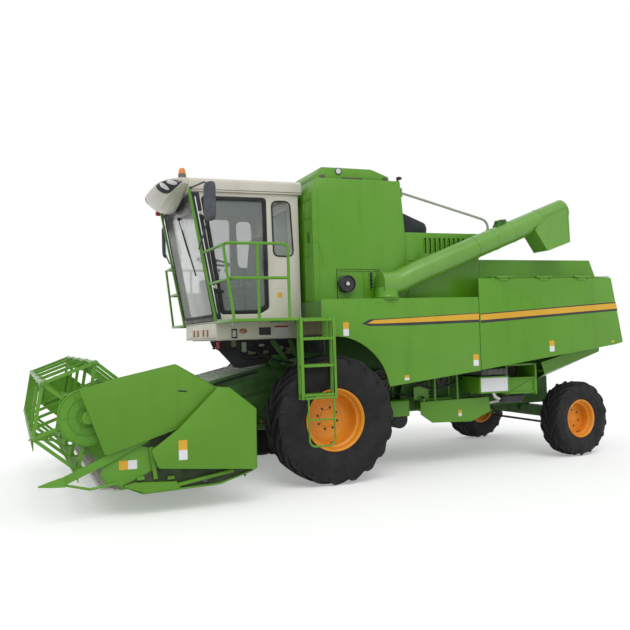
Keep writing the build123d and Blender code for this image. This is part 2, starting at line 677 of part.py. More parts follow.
def build_platform():
    """Walkways on both sides, hand rails and the ladder."""
    top, low = cab_floor - 1, cab_floor - 32
    inner = cab_half + 20 + seat_gap
    beside_ladder = ladder_out - ladder_deep - 10 - seat_gap
    corner_x = ladder_front + 35
    behind_panel = panel_front + seat_gap
    walk = block(behind_panel, walk_front, inner, beside_ladder, cab_floor - walk_wall, top)
    walk += block(walk_rear, behind_panel + 1, panel_out + seat_gap, beside_ladder, cab_floor - walk_wall, top)
    walk += block(corner_x, walk_front, inner, walk_half, cab_floor - walk_wall, top)
    walk += block(corner_x, walk_front, walk_half - 30, walk_half, low, top)
    for x in (behind_panel, corner_x + 30, walk_front - 30):
        walk += block(x, x + 30, inner, beside_ladder if x < corner_x else walk_half, low, top)
    keep("walkways", both(walk))
    y = walk_half - 20
    r = hand_rail_radius
    foot = cab_floor - 0.7
    top = bent_bar([(560, y, foot), (560, y, hand_rail_top), (1240, y, hand_rail_top),
                    (1310, cab_half + 60, hand_rail_top - 20)], r, 60)
    mid = bent_bar([(560, y, hand_rail_mid), (1200, y, hand_rail_mid), (1250, cab_half + 60, hand_rail_mid - 10)], r, 60)
    rails = top + mid + bar((905, y, foot), (905, y, hand_rail_top), r)
    rails += block(1168, 1196, y - 14, y + 14, foot, foot + 10) + bar((1182, y, foot + 5), (1270, y - 40, hand_rail_top), r)
    # tall tube beside the windscreen, from the walkway to the roof
    rails += bar((1184, cab_half + 60, foot + 5), (1456, cab_half + 60, roof_low + 20), r)
    rails += block(1170, 1198, cab_half + 46, cab_half + 74, foot, foot + 10)
    keep("hand_rails", both(rails))
    ladder = None
    for x in (ladder_rear, ladder_front):
        for dy in (0, -ladder_deep):
            post = block(x - 8, x + 28, ladder_out + dy - 10, ladder_out + dy + 10, ladder_bottom, cab_floor)
            ladder = post if ladder is None else ladder + post
    for z in (1045, 1365, 1660, 1865):
        ladder += block(ladder_rear, ladder_front + 20, ladder_out - ladder_deep, ladder_out + 8, z - 30, z)
    hoop_z = 1000
    hoop = bent_bar([(ladder_rear + 40, ladder_out + 24, hoop_z), (ladder_rear + 40, ladder_out + 24, ladder_hoop_bottom),
                     (ladder_front - 40, ladder_out + 24, ladder_hoop_bottom), (ladder_front - 40, ladder_out + 24, hoop_z)],
                    11, 70)
    hoop += bar((ladder_rear + 40, ladder_out + 24, 765), (ladder_front - 40, ladder_out + 24, 765), 10)
    hoop += bar((ladder_rear + 28, ladder_out + 24, hoop_z), (ladder_front - 28, ladder_out + 24, hoop_z), 12)
    keep("ladder_hoop", hoop)
    for x in (ladder_rear + 8.7, ladder_front - 27.7):
        ladder += block(x, x + 19, ladder_out - 10, ladder_out + 36, hoop_z - 14, hoop_z + 14)
    keep("ladder", ladder)
    pivots["hoop"] = (ladder_rear, ladder_out + 24, hoop_z)


def build_mirrors():
    frames = []
    # columns: side, mirror centre x, distance out, height
    for side, x, out, z in ((1, 1352, 1290, 3194), (-1, 1390, 1010, 3010)):
        head = block(x - 30, x + 30, side * out - 95, side * out + 95, z - 215, z + 215)
        arm = bar((1430, side * (cab_half + 40), 3400), (x, side * out, z + 120), 9)
        arm += bar((x, side * out, z - 120), (1358, side * (cab_half + 60), 2702), 9)
        foot_low, foot_high = sorted((side * (cab_half + 30 + seat_gap), side * (cab_half + 48)))
        arm += block(1415, 1445, foot_low, foot_high, 3385, 3415)
        frames.append(head + arm)
    keep("mirrors", frames)


# Header

def build_feeder():
    house = side_slab([(222, 1060), (222, 1330), (500, 1335), (feeder_front, 1168), (feeder_front, 560),
                       (620, 782)], -feeder_half, feeder_half)
    shaft = y_disc(feeder_pivot_x, feeder_pivot_z, feeder_shaft_radius, -body_half - 20, body_half + 20)
    house += shaft
    for side in (-1, 1):
        for dy in (-60, 34):
            y = side * lift_y + dy
            house += side_slab([(900, 700), (1080, 640), (1020, 560), (950, 560)], y, y + 26)
    for side in (-1, 1):
        for dy in (-66, 34):
            house += y_disc(lift_eye_x, lift_eye_z, lift_pin_radius, side * lift_y + dy, side * lift_y + dy + 32)
    keep("feeder_house", house)
    pivots["header"] = (feeder_pivot_x, 0, feeder_pivot_z)


def build_lift():
    barrels, rods = [], []
    for side in (-1, 1):
        y = side * lift_y
        barrel_end = lift_base_x + 470
        barrel = bar((lift_base_x + 45, y, lift_base_z), (barrel_end, y, lift_base_z), lift_barrel_radius)
        barrel += y_disc(lift_base_x, lift_base_z, 38, y - 24, y + 24)
        barrel += block(lift_base_x, lift_base_x + 60, y - 24, y + 24, lift_base_z - 30, lift_base_z + 30)
        barrel -= y_disc(lift_base_x, lift_base_z, lift_pin_radius + running_gap, y - 30, y + 30)
        barrel -= bar((lift_base_x + 80, y, lift_base_z), (barrel_end + 1, y, lift_base_z), lift_rod_radius + running_gap)
        rod = bar((lift_base_x + 138, y, lift_base_z), (lift_eye_x - 20, y, lift_base_z), lift_rod_radius)
        rod += y_disc(lift_eye_x, lift_eye_z, 36, y - 24, y + 24)
        barrels.append(barrel)
        rods.append(rod)
    keep("lift_barrels", barrels)
    keep("lift_rods", rods)
    # ears of the barrels on the frame
    ears = pieces["chassis_frame"][0]
    rail_low = body_bottom - rail_high
    for side in (-1, 1):
        for dy in (-52, 28):
            y = side * lift_y + dy
            ears += side_slab([(lift_base_x - 60, rail_low + 20), (lift_base_x + 10, rail_low + 20),
                               (lift_base_x + 30, lift_base_z - 25), (lift_base_x - 30, lift_base_z - 25)], y, y + 24)
        ears += y_disc(lift_base_x, lift_base_z, lift_pin_radius, side * lift_y - 50, side * lift_y + 50)
    pieces["chassis_frame"] = [ears]
    pivots["lift_base"] = (lift_base_x, 0, lift_base_z)
    pivots["lift_eye"] = (lift_eye_x, 0, lift_eye_z)


def trough_outline():
    """Trough section: back wall, round floor under the screw, and the knife's floor."""
    reach = screw_flight_radius + trough_gap
    low = (screw_x, screw_z - reach)
    back = (screw_x - reach, screw_z)
    turn = radians(225)
    middle = (screw_x + reach * cos(turn), screw_z + reach * sin(turn))
    wall = 10
    outer = reach + wall
    middle_out = (screw_x + outer * cos(turn), screw_z + outer * sin(turn))
    edge = [Line((back[0], trough_top), back), ThreePointArc(back, middle, low), Line(low, (knife_x, knife_z + 14)),
            Line((knife_x, knife_z + 14), (knife_x, knife_z)), Line((knife_x, knife_z), (screw_x, screw_z - outer)),
            ThreePointArc((screw_x, screw_z - outer), middle_out, (screw_x - outer, screw_z)),
            Line((screw_x - outer, screw_z), (screw_x - outer, trough_top)),
            Line((screw_x - outer, trough_top), (back[0], trough_top))]
    return make_face(Wire(edge))


end_outline = [(1120, 340), (1120, 955), (1372, trough_top - 5), (1500, trough_top), (2090, 740), (2560, 545),
               (2612, 430), (2570, 340), (2480, 322), (2235, 212), (1470, 232)]


def build_header():
    back_x = screw_x - screw_flight_radius - trough_gap - 10
    trough = extrude(trough_outline(), amount=2 * header_half)
    trough = Pos(0, header_half, 0) * (across * trough)
    trough -= block(back_x - 50, screw_x - 100, -480, 480, 440, 960)
    # box beams along the back
    trough += side_slab([(back_x - 95, trough_top - 130), (back_x - 95, trough_top - 90), (back_x - 10, trough_top - 16),
                         (back_x + 2, trough_top), (back_x + 2, trough_top - 130)], -header_half, header_half)
    trough += block(feeder_front + 0.5, back_x + 2, -feeder_half - 60, -480, 420, trough_top - 50)
    trough += block(feeder_front + 0.5, back_x + 2, 480, feeder_half + 60, 420, trough_top - 50)
    trough += block(back_x - 60, back_x + 40, -header_half, header_half, 330, 400)
    for side in (-1, 1):
        y_low, y_high = sorted((side * header_half, side * (header_half + end_sheet)))
        trough += side_slab(end_outline, y_low, y_high)
    trough -= y_disc(screw_x, screw_z, 26 + running_gap, -header_half - 20, header_half + 20)
    # pivot studs of the reel's arms
    for side in (-1, 1):
        trough += y_disc(arm_pivot_x, arm_pivot_z, 24, side * (header_half + 2), side * (arm_y + arm_wall + 4))
    keep("header_trough", trough)
    # knife bar with a row of pointed guards
    bar_piece = block(knife_x + 0.5, knife_x + 50, -header_half, header_half, knife_z, knife_z + 16)
    count = int(2 * (header_half - 40) / finger_pitch)
    first = -finger_pitch * (count - 1) / 2
    guards = []
    for i in range(count):
        y = first + i * finger_pitch
        root, tip = knife_x + 45, knife_x + 45 + finger_long
        guards.append(skin([[(root, y - 14, knife_z), (root, y + 14, knife_z),
                             (root, y + 12, knife_z + 26), (root, y - 12, knife_z + 26)],
                            [(tip, y - 2, knife_z + 4), (tip, y + 2, knife_z + 4),
                             (tip, y + 2, knife_z + 8), (tip, y - 2, knife_z + 8)]]))
    keep("cutter_bar", bar_piece + guards)
    # crop dividers: pointed snouts, with a long board and a lower bar back to the end sheets
    board_in, board_out = header_half + end_sheet + seat_gap, header_half + end_sheet + 28
    y_mid = (board_in + board_out) / 2
    rings = [[(2930, y_mid - 34, 350), (2930, y_mid + 34, 350), (2930, y_mid + 18, 442), (2930, y_mid - 18, 442)],
             [(3060, y_mid - 20, 354), (3060, y_mid + 20, 354), (3060, y_mid + 11, 410), (3060, y_mid - 11, 410)],
             [(tip_x, y_mid - 4, tip_z - 6), (tip_x, y_mid + 4, tip_z - 6), (tip_x, y_mid + 4, tip_z + 6), (tip_x, y_mid - 4, tip_z + 6)]]
    divider = skin(rings)
    divider += side_slab([(2945, 440), (2560, 600), (2090, 826), (2090, 748), (2560, 522), (2945, 360)], board_in, board_out)
    divider += bar((2940, y_mid, 366), (2708, y_mid, 304), 12) + bar((2708, y_mid, 304), (2470, y_mid, 338), 12)
    divider += Pos(2708, y_mid, 304) * Sphere(12)
    keep("dividers", both(divider))
    # covers over the drives at both ends
    rear_cover = [(1110, 372), (1100, 965), (1370, 1188), (1480, 1194), (1870, 822), (2140, 632), (2080, 462)]
    cover_in, cover_out = arm_y + arm_wall + 60, arm_y + arm_wall + 72
    cover = side_slab(rear_cover, cover_in, cover_out)
    for (xa, za), (xb, zb) in zip(rear_cover[:2], rear_cover[1:3]):
        cover += side_slab([(xa, za), (xb, zb), (xb + 12, zb - 12), (xa + 12, za - 12)],
                           header_half + end_sheet + 0.3, cover_in + 1)
    cover += side_slab([(1110, 372), (2080, 462), (2080, 474), (1110, 386)],
                       header_half + end_sheet + 0.3, cover_in + 1)
    keep("end_covers", both(cover))


def build_screw():
    """Cross screw of the header: tube and two flights of opposite hand that meet in the middle."""
    tube = y_disc(screw_x, screw_z, screw_tube_radius, -screw_half, screw_half)
    tube += y_disc(screw_x, screw_z, 26, -header_half - 6, header_half + 6)
    steps_per_turn = 12
    flights = []
    for side in (-1, 1):
        rings = []
        steps = int((screw_half - 300) / flight_pitch * steps_per_turn)
        for i in range(steps + 1):
            a = 2 * pi * i / steps_per_turn
            y = side * (screw_half - 20 - flight_pitch * i / steps_per_turn)
            ring = []
            for r, dy in ((screw_tube_radius - 8, -4), (screw_flight_radius, -4), (screw_flight_radius, 4), (screw_tube_radius - 8, 4)):
                ring.append((screw_x + r * cos(a), y + dy, screw_z + r * sin(a)))
            rings.append(ring)
        flights.append(skin(rings))
    # retracting fingers in the middle
    for i in range(8):
        a = i * pi / 4 + 0.2
        y = -210 + i * 60
        flights.append(bar((screw_x, y, screw_z), (screw_x + 235 * cos(a), y, screw_z + 235 * sin(a)), 7))
    keep("header_screw", tube + flights)
    pivots["screw"] = (screw_x, 0, screw_z)


def build_reel():
    angles = [radians(90 + reel_turn + 360 / bat_count * i) for i in range(bat_count)]
    reel = y_disc(reel_x, reel_z, reel_tube_radius, -reel_half, reel_half)
    reel += y_disc(reel_x, reel_z, reel_shaft_radius, -arm_y - arm_wall - 4, arm_y + arm_wall + 4)
    # spiders: spokes and rim bars in five planes
    spoke_wide, spoke_thick = 34, 8
    members = []
    for y in (-reel_half + 30, -reel_half / 2, 0, reel_half / 2, reel_half - 30):
        for i, a in enumerate(angles):
            b = angles[(i + 1) % bat_count]
            tip = (reel_x + reel_radius * cos(a), reel_z + reel_radius * sin(a))
            nxt = (reel_x + reel_radius * cos(b), reel_z + reel_radius * sin(b))
            members.append(flat_bar((reel_x, reel_z), tip, y, spoke_wide, spoke_thick))
            members.append(flat_bar(tip, nxt, y, spoke_wide, spoke_thick))
    # bats with their tines
    tines = int(2 * (reel_half - 60) / tine_pitch)
    for a in angles:
        x, z = reel_x + reel_radius * cos(a), reel_z + reel_radius * sin(a)
        members.append(block(x - bat_wide / 2, x + bat_wide / 2, -reel_half, reel_half, z - 12, z + 12))
        for i in range(tines + 1):
            y = -tine_pitch * tines / 2 + i * tine_pitch
            members.append(block(x - 5, x + 5, y - 5, y + 5, z - 12 - tine_long, z - 11))
    for side in (-1, 1):
        y_low, y_high = sorted((side * (reel_half + 4), side * (reel_half + 12)))
        members.append(y_disc(reel_x, reel_z, reel_disc_radius, y_low, y_high))
    keep("reel", reel + members)
    pivots["reel"] = (reel_x, 0, reel_z)


def flat_bar(start, end, y, wide, thick):
    """A flat bar between two (x, z) points in one plane across the machine."""
    (xa, za), (xb, zb) = start, end
    length = ((xb - xa) ** 2 + (zb - za) ** 2) ** 0.5
    turn = degrees(atan2(zb - za, xb - xa))
    plank = Box(length, thick, wide)
    return Pos((xa + xb) / 2, y, (za + zb) / 2) * (Rot(0, -turn, 0) * plank)


def build_arms():
    arms = []
    y_low, y_high = arm_y, arm_y + arm_wall
    arm = side_slab([(arm_pivot_x - 50, arm_pivot_z - 50), (arm_pivot_x - 50, arm_pivot_z + 50),
                     (arm_pivot_x + 40, arm_pivot_z + 60), (reel_x, reel_z + 58), (reel_x, reel_z - 58),
                     (arm_pivot_x + 40, arm_pivot_z - 60)], y_low, y_high) + y_disc(reel_x, reel_z, 58, y_low, y_high)
    arm -= y_disc(arm_pivot_x, arm_pivot_z, 24 + running_gap, y_low - 5, y_high + 5)
    arm -= y_disc(reel_x, reel_z, reel_shaft_radius + running_gap, y_low - 5, y_high + 5)
    shield = side_slab([(2785, 1235), (2420, 1335), (1890, 1440), (1480, 1190), (1870, 822), (2565, 620)],
                       y_high + 14, y_high + 26)
    # the right-hand shield is lower, without the drive behind it
    low_shield = side_slab([(2600, 930), (2300, 1090), (1850, 1175), (1500, 1160), (1870, 822), (2565, 640)],
                           y_high + 14, y_high + 26)
    for x, z in ((1700, 1080), (2450, 1010)):
        shield += y_disc(x, z, 20, y_high, y_high + 16)
        low_shield += y_disc(x, z - 30, 20, y_high, y_high + 16)
    keep("reel_arms", both(arm))
    keep("reel_shields", shield, mirrored(low_shield))
    pivots["arms"] = (arm_pivot_x, 0, arm_pivot_z)


def build_guards():
    """Guard plates, tank and boxes under the body."""
    y = 1000
    left = side_slab([(-1340, 815), (-2330, 825), (-2355, 640), (-2060, 530), (-1500, 550), (-1340, 660)], y - 12, y)
    left += block(-1420, -1390, body_half, y, 690, 800)
    left += block(-2300, -2270, body_half, y, 690, 800)
    box = block(-2500, -2080, 780, 1180, 890, 1095) + block(-2960, -2510, 780, 1120, 850, 1060)
    box += block(-2480, -2100, body_half, 800, 940, 1050) + block(-2900, -2600, body_half, 800, 900, 1040)
    keep("lower_guards", both(left), box)


build_chassis()
build_rear_axle()
build_wheels()
build_body()
build_deck()
build_tank()
build_unloader()
build_cab()
build_door()
build_cab_inside()
build_platform()
build_mirrors()
build_feeder()
build_lift()
build_header()
build_screw()
build_reel()
build_arms()
build_guards()

# The origin is the middle of the finished machine's box, on the ground.
boxes = [solid.bounding_box() for solids in pieces.values() for solid in solids]
middle_x = (min(box.min.X for box in boxes) + max(box.max.X for box in boxes)) / 2
ground_z = min(box.min.Z for box in boxes)
shift = Pos(-middle_x, 0, -ground_z)
for name, (x, y, z) in pivots.items():
    if name.endswith("direction"):
        print("pivot", name, round(x, 5), round(y, 5), round(z, 5))
    else:
        print("pivot", name, round(x - middle_x, 3), round(y, 3), round(z - ground_z, 3))
print("shift", -middle_x, -ground_z)
for name, solids in pieces.items():
    placed = [shift * solid for solid in solids]
    flat = [body for solid in placed for body in solid.solids()]
    volume = sum(body.volume for body in flat)
    centre = Vector(0, 0, 0)
    for body in flat:
        centre += body.center(CenterOf.MASS) * (body.volume / volume)
    print("mass", name, round(volume / 1e9, 6), round(centre.X, 1), round(centre.Y, 1), round(centre.Z, 1))
    export_step(Compound(children=flat), f"parts/{name}.step")
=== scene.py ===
# Combine harvester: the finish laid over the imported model.
# Places are in metres from the ground under the front axle: x forward, y to the machine's left, z up.
import json
import math

import bmesh
import bpy
from mathutils import Matrix, Vector

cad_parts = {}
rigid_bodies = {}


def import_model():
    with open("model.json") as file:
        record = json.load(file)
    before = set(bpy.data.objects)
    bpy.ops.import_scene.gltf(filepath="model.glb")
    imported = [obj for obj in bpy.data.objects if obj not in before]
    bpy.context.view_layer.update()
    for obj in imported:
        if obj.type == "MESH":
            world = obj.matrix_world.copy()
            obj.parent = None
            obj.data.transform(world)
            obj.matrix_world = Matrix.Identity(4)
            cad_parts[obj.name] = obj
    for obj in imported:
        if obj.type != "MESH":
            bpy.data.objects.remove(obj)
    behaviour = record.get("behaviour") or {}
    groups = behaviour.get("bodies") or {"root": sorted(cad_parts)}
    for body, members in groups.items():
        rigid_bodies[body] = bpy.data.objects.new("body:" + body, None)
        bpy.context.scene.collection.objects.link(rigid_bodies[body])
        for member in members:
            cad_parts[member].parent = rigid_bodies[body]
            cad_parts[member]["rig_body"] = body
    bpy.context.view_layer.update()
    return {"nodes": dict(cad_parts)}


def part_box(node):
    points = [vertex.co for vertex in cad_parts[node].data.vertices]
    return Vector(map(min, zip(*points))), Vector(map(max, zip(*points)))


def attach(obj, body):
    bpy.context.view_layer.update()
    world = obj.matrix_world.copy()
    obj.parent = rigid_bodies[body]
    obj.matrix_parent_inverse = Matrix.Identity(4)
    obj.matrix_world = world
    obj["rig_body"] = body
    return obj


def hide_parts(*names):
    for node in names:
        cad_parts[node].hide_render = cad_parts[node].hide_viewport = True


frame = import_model()
scene = bpy.context.scene
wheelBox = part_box("front_tyre_left")
axleX = (wheelBox[0].x + wheelBox[1].x) / 2


# which way across the machine each hand lies
sides = (("left", 1), ("right", -1))


def at(x, y, z):
    return Vector((x + axleX, y, z))


def sideways(y):
    return Vector((0, y, 0))


# evenly spaced places in a row
def spots(first, pitch, count):
    return [first + k * pitch for k in range(count)]


# Camera, light and floor

cameraSettings = {"place": (3.3972, 9.5451, 1.6661), "yaw": 21.27, "pitch": 1.49, "roll": -1.83,
                  "lens": 44.64, "shift": (0.0057, 0.0023)}
lightSettings = {"sky": 0.7, "sun": 1.1, "sunAngle": 38, "sunTurn": (38, 8, 158), "floorLift": 0.3}


def makeCamera():
    yaw, pitch, roll = (math.radians(cameraSettings[key]) for key in ("yaw", "pitch", "roll"))
    ahead = Vector((-math.sin(yaw) * math.cos(pitch), -math.cos(yaw) * math.cos(pitch), math.sin(pitch)))
    right = ahead.cross(Vector((0, 0, 1))).normalized()
    up = right.cross(ahead)
    rolledRight = math.cos(roll) * right + math.sin(roll) * up
    rolledUp = math.cos(roll) * up - math.sin(roll) * right
    data = bpy.data.cameras.new("photoCamera")
    data.lens, data.sensor_width = cameraSettings["lens"], 36
    data.shift_x, data.shift_y = cameraSettings["shift"]
    data.clip_end = 200
    camera = bpy.data.objects.new("photoCamera", data)
    turn = Matrix((rolledRight, rolledUp, -ahead)).transposed().to_4x4()
    camera.matrix_world = Matrix.Translation(at(*cameraSettings["place"])) @ turn
    scene.collection.objects.link(camera)
    scene.camera = camera


# one where the camera, a reflection or a view through glass looks, nought for light on the machine
def seenDirectly(nodes, links):
    path = nodes.new("ShaderNodeLightPath")
    total = path.outputs["Is Camera Ray"]
    for name in ("Is Glossy Ray", "Is Transmission Ray"):
        add = nodes.new("ShaderNodeMath")
        add.operation, add.use_clamp = "ADD", True
        links.new(total, add.inputs[0])
        links.new(path.outputs[name], add.inputs[1])
        total = add.outputs[0]
    return total


def makeLight():
    world = bpy.data.worlds.new("studio")
    world.use_nodes = True
    nodes, links = world.node_tree.nodes, world.node_tree.links
    sky = nodes["Background"]
    sky.inputs["Color"].default_value = (0.97, 0.985, 1.0, 1)
    sky.inputs["Strength"].default_value = lightSettings["sky"]
    white = nodes.new("ShaderNodeBackground")
    white.inputs["Color"].default_value = (1, 1, 1, 1)
    mix = nodes.new("ShaderNodeMixShader")
    links.new(seenDirectly(nodes, links), mix.inputs[0])
    links.new(sky.outputs[0], mix.inputs[1])
    links.new(white.outputs[0], mix.inputs[2])
    links.new(mix.outputs[0], nodes["World Output"].inputs[0])
    scene.world = world
    data = bpy.data.lights.new("softSun", "SUN")
    data.energy, data.angle = lightSettings["sun"], math.radians(lightSettings["sunAngle"])
    sun = bpy.data.objects.new("softSun", data)
    tilt, lean, turn = (math.radians(value) for value in lightSettings["sunTurn"])
    sun.matrix_world = Matrix.Rotation(turn, 4, "Z") @ Matrix.Rotation(tilt, 4, "X") @ Matrix.Rotation(lean, 4, "Y")
    scene.collection.objects.link(sun)


def makeFloor():
    mesh = bpy.data.meshes.new("studioFloor")
    bm = bmesh.new()
    bmesh.ops.create_grid(bm, x_segments=1, y_segments=1, size=60)
    bm.to_mesh(mesh)
    bm.free()
    floor = bpy.data.objects.new("studioFloor", mesh)
    material = bpy.data.materials.new("floorWhite")
    material.use_nodes = True
    nodes, links = material.node_tree.nodes, material.node_tree.links
    nodes.remove(nodes["Principled BSDF"])
    matt = nodes.new("ShaderNodeBsdfDiffuse")
    matt.inputs["Color"].default_value = (0.8, 0.8, 0.79, 1)
    glow = nodes.new("ShaderNodeEmission")
    add = nodes.new("ShaderNodeAddShader")
    strength = nodes.new("ShaderNodeMath")
    strength.operation = "MULTIPLY"
    strength.inputs[1].default_value = lightSettings["floorLift"]
    links.new(seenDirectly(nodes, links), strength.inputs[0])
    links.new(strength.outputs[0], glow.inputs["Strength"])
    links.new(matt.outputs[0], add.inputs[0])
    links.new(glow.outputs[0], add.inputs[1])
    links.new(add.outputs[0], nodes["Material Output"].inputs[0])
    mesh.materials.append(material)
    scene.collection.objects.link(floor)


scene.view_settings.view_transform = "Standard"
makeCamera()
makeLight()
makeFloor()
print("stage: camera, light and floor")


# Materials

# a material and the few nodes that every finish here is mixed from
class Finish:

    def __init__(self, name):
        self.material = bpy.data.materials.new(name)
        self.material.use_nodes = True
        tree = self.material.node_tree
        self.nodes, self.links = tree.nodes, tree.links
        self.shader = self.nodes["Principled BSDF"]
        self.place = self.nodes.new("ShaderNodeTexCoord").outputs["Object"]

    def stretched(self, scale, centre=(0, 0, 0)):
        node = self.nodes.new("ShaderNodeMapping")
        node.inputs["Scale"].default_value = scale
        node.inputs["Location"].default_value = centre
        self.links.new(self.place, node.inputs["Vector"])
        return node.outputs[0]

    def noise(self, scale, detail=3, rough=0.55, vector=None):
        node = self.nodes.new("ShaderNodeTexNoise")
        node.inputs["Scale"].default_value = scale
        node.inputs["Detail"].default_value = detail
        node.inputs["Roughness"].default_value = rough
        self.links.new(vector or self.place, node.inputs["Vector"])
        return node.outputs[0]

    def spread(self, value, low, high, toLow=0.0, toHigh=1.0):
        node = self.nodes.new("ShaderNodeMapRange")
        for name, number in (("From Min", low), ("From Max", high), ("To Min", toLow), ("To Max", toHigh)):
            node.inputs[name].default_value = number
        self.links.new(value, node.inputs["Value"])
        return node.outputs[0]

    def times(self, first, second):
        node = self.nodes.new("ShaderNodeMath")
        node.operation = "MULTIPLY"
        self.links.new(first, node.inputs[0])
        if isinstance(second, (int, float)):
            node.inputs[1].default_value = second
        else:
            self.links.new(second, node.inputs[1])
        return node.outputs[0]

    def mix(self, share, first, second):
        node = self.nodes.new("ShaderNodeMix")
        node.data_type = "RGBA"
        self.links.new(share, node.inputs[0])
        for socket, value in ((node.inputs[6], first), (node.inputs[7], second)):
            if isinstance(value, tuple):
                socket.default_value = (*value, 1)
            else:
                self.links.new(value, socket)
        return node.outputs[2]

    def height(self):
        node = self.nodes.new("ShaderNodeSeparateXYZ")
        self.links.new(self.place, node.inputs[0])
        return node.outputs[2]

    def colour(self, value):
        self.links.new(value, self.shader.inputs["Base Color"])

    def roughness(self, value):
        self.links.new(value, self.shader.inputs["Roughness"])

    def bump(self, value, strength, distance):
        node = self.nodes.new("ShaderNodeBump")
        node.inputs["Strength"].default_value = strength
        node.inputs["Distance"].default_value = distance
        self.links.new(value, node.inputs["Height"])
        self.links.new(node.outputs[0], self.shader.inputs["Normal"])


paintSettings = {
    # name: plain, faded and shaded colour, roughness low and high, coat, dust share
    "greenPaint": ((0.094, 0.292, 0.008), (0.116, 0.318, 0.018), (0.072, 0.238, 0.006), 0.32, 0.48, 0.16, 0.07),
    "shieldPaint": ((0.092, 0.265, 0.007), (0.108, 0.285, 0.013), (0.076, 0.232, 0.006), 0.38, 0.54, 0.1, 0.05),
    "chassisPaint": ((0.03, 0.12, 0.012), (0.042, 0.15, 0.018), (0.012, 0.048, 0.008), 0.45, 0.75, 0.05, 0.3),
    "cabPaint": ((0.6, 0.56, 0.48), (0.64, 0.605, 0.53), (0.52, 0.475, 0.395), 0.32, 0.5, 0.25, 0.16),
    # painted light: the cab base's off-white is lighter than the cab's, to lift the base out of the walkway's shadow
    "baseLightenedPaint": ((0.76, 0.71, 0.6), (0.79, 0.745, 0.64), (0.64, 0.59, 0.49), 0.34, 0.52, 0.2, 0.18),
    # painted shade: near-black green for sheets that stand for shade on the header's ends
    "recessShadePaint": ((0.02, 0.044, 0.01), (0.032, 0.058, 0.018), (0.01, 0.02, 0.006), 0.5, 0.8, 0.05, 0.25),
    "rimPaint": ((0.76, 0.26, 0.006), (0.8, 0.31, 0.014), (0.56, 0.16, 0.006), 0.38, 0.55, 0.15, 0.12),
    "augerPaint": ((0.122, 0.325, 0.028), (0.145, 0.35, 0.04), (0.098, 0.28, 0.02), 0.24, 0.38, 0.4, 0.05),
    "stripePaint": ((0.7, 0.37, 0.014), (0.74, 0.41, 0.026), (0.62, 0.31, 0.012), 0.3, 0.42, 0.25, 0.04),
    "blackPaint": ((0.018, 0.019, 0.02), (0.028, 0.029, 0.03), (0.01, 0.01, 0.011), 0.35, 0.6, 0.15, 0.2),
    "plateWhite": ((0.76, 0.765, 0.78), (0.8, 0.805, 0.815), (0.66, 0.665, 0.67), 0.35, 0.5, 0.15, 0.12),
    "plateRed": ((0.52, 0.03, 0.03), (0.56, 0.05, 0.045), (0.42, 0.022, 0.022), 0.35, 0.5, 0.15, 0.1),
    "feederPaint": ((0.3, 0.35, 0.27), (0.4, 0.43, 0.36), (0.17, 0.23, 0.14), 0.45, 0.75, 0.05, 0.4),
    "pulleyPaint": ((0.09, 0.085, 0.075), (0.14, 0.12, 0.095), (0.035, 0.033, 0.03), 0.45, 0.7, 0.05, 0.4),
}
dustColour = (0.3, 0.27, 0.195)
chipColour = (0.06, 0.055, 0.045)


# sprayed paint: soft fading, rain streaks, chips and a film of dust that grows towards the ground
def makePaint(name):
    plain, faded, shaded, low, high, coat, dust = paintSettings[name]
    finish = Finish(name)
    blotches = finish.spread(finish.noise(0.9, 3), 0.38, 0.66)
    base = finish.mix(blotches, plain, faded)
    streaks = finish.spread(finish.noise(1.0, 4, 0.6, finish.stretched((7, 7, 0.7))), 0.5, 0.78, 0, 0.55)
    base = finish.mix(streaks, base, shaded)
    ground = finish.spread(finish.height(), 1.5, 0.2, 0.12, 1.0)
    film = finish.times(finish.spread(finish.noise(5.5, 6, 0.65), 0.42, 0.72, 0, dust), ground)
    base = finish.mix(film, base, dustColour)
    chips = finish.spread(finish.noise(46, 3, 0.6), 0.735, 0.76, 0, 0.5)
    base = finish.mix(chips, base, chipColour)
    finish.colour(base)
    finish.roughness(finish.spread(finish.noise(3.5, 5, 0.6), 0.3, 0.7, low, high))
    finish.bump(finish.noise(240, 2), 0.05, 0.002)
    finish.shader.inputs["Coat Weight"].default_value = coat
    finish.shader.inputs["Coat Roughness"].default_value = 0.22
    finish.shader.inputs["Specular IOR Level"].default_value = 0.4
    return finish.material


def makeRubber(name, colour, dusty, dust):
    finish = Finish(name)
    base = finish.mix(finish.spread(finish.noise(3.2, 5, 0.6), 0.35, 0.7), colour, tuple(1.7 * c for c in colour))
    film = finish.spread(finish.noise(9, 6, 0.7), 0.48, 0.78, 0, dust)
    base = finish.mix(film, base, dusty)
    finish.colour(base)
    finish.roughness(finish.spread(finish.noise(6, 4), 0.3, 0.7, 0.55, 0.85))
    finish.bump(finish.noise(130, 4, 0.7), 0.22, 0.0015)
    finish.shader.inputs["Specular IOR Level"].default_value = 0.35
    return finish.material


def makeMetal(name, colour, worn, low, high, metallic=1.0):
    finish = Finish(name)
    base = finish.mix(finish.spread(finish.noise(14, 5, 0.65), 0.42, 0.7), colour, worn)
    finish.colour(base)
    finish.roughness(finish.spread(finish.noise(28, 4), 0.3, 0.7, low, high))
    finish.bump(finish.noise(1.0, 3, 0.5, finish.stretched((900, 900, 60))), 0.06, 0.0006)
    finish.shader.inputs["Metallic"].default_value = metallic
    return finish.material


def makeGlass(name, colour, alpha, band=None):
    finish = Finish(name)
    haze = finish.spread(finish.noise(2.2, 5, 0.6), 0.4, 0.8, 0, 0.35)
    base = finish.mix(haze, colour, tuple(min(1, 1.35 * c) for c in colour))
    if band:
        # a darker band along the upper edge
        shade = finish.spread(finish.height(), band[0], band[1])
        base = finish.mix(shade, base, band[2])
    finish.colour(base)
    finish.roughness(finish.spread(finish.noise(3, 4), 0.3, 0.75, 0.03, 0.14))
    finish.shader.inputs["Alpha"].default_value = alpha
    finish.shader.inputs["Specular IOR Level"].default_value = 0.7
    return finish.material


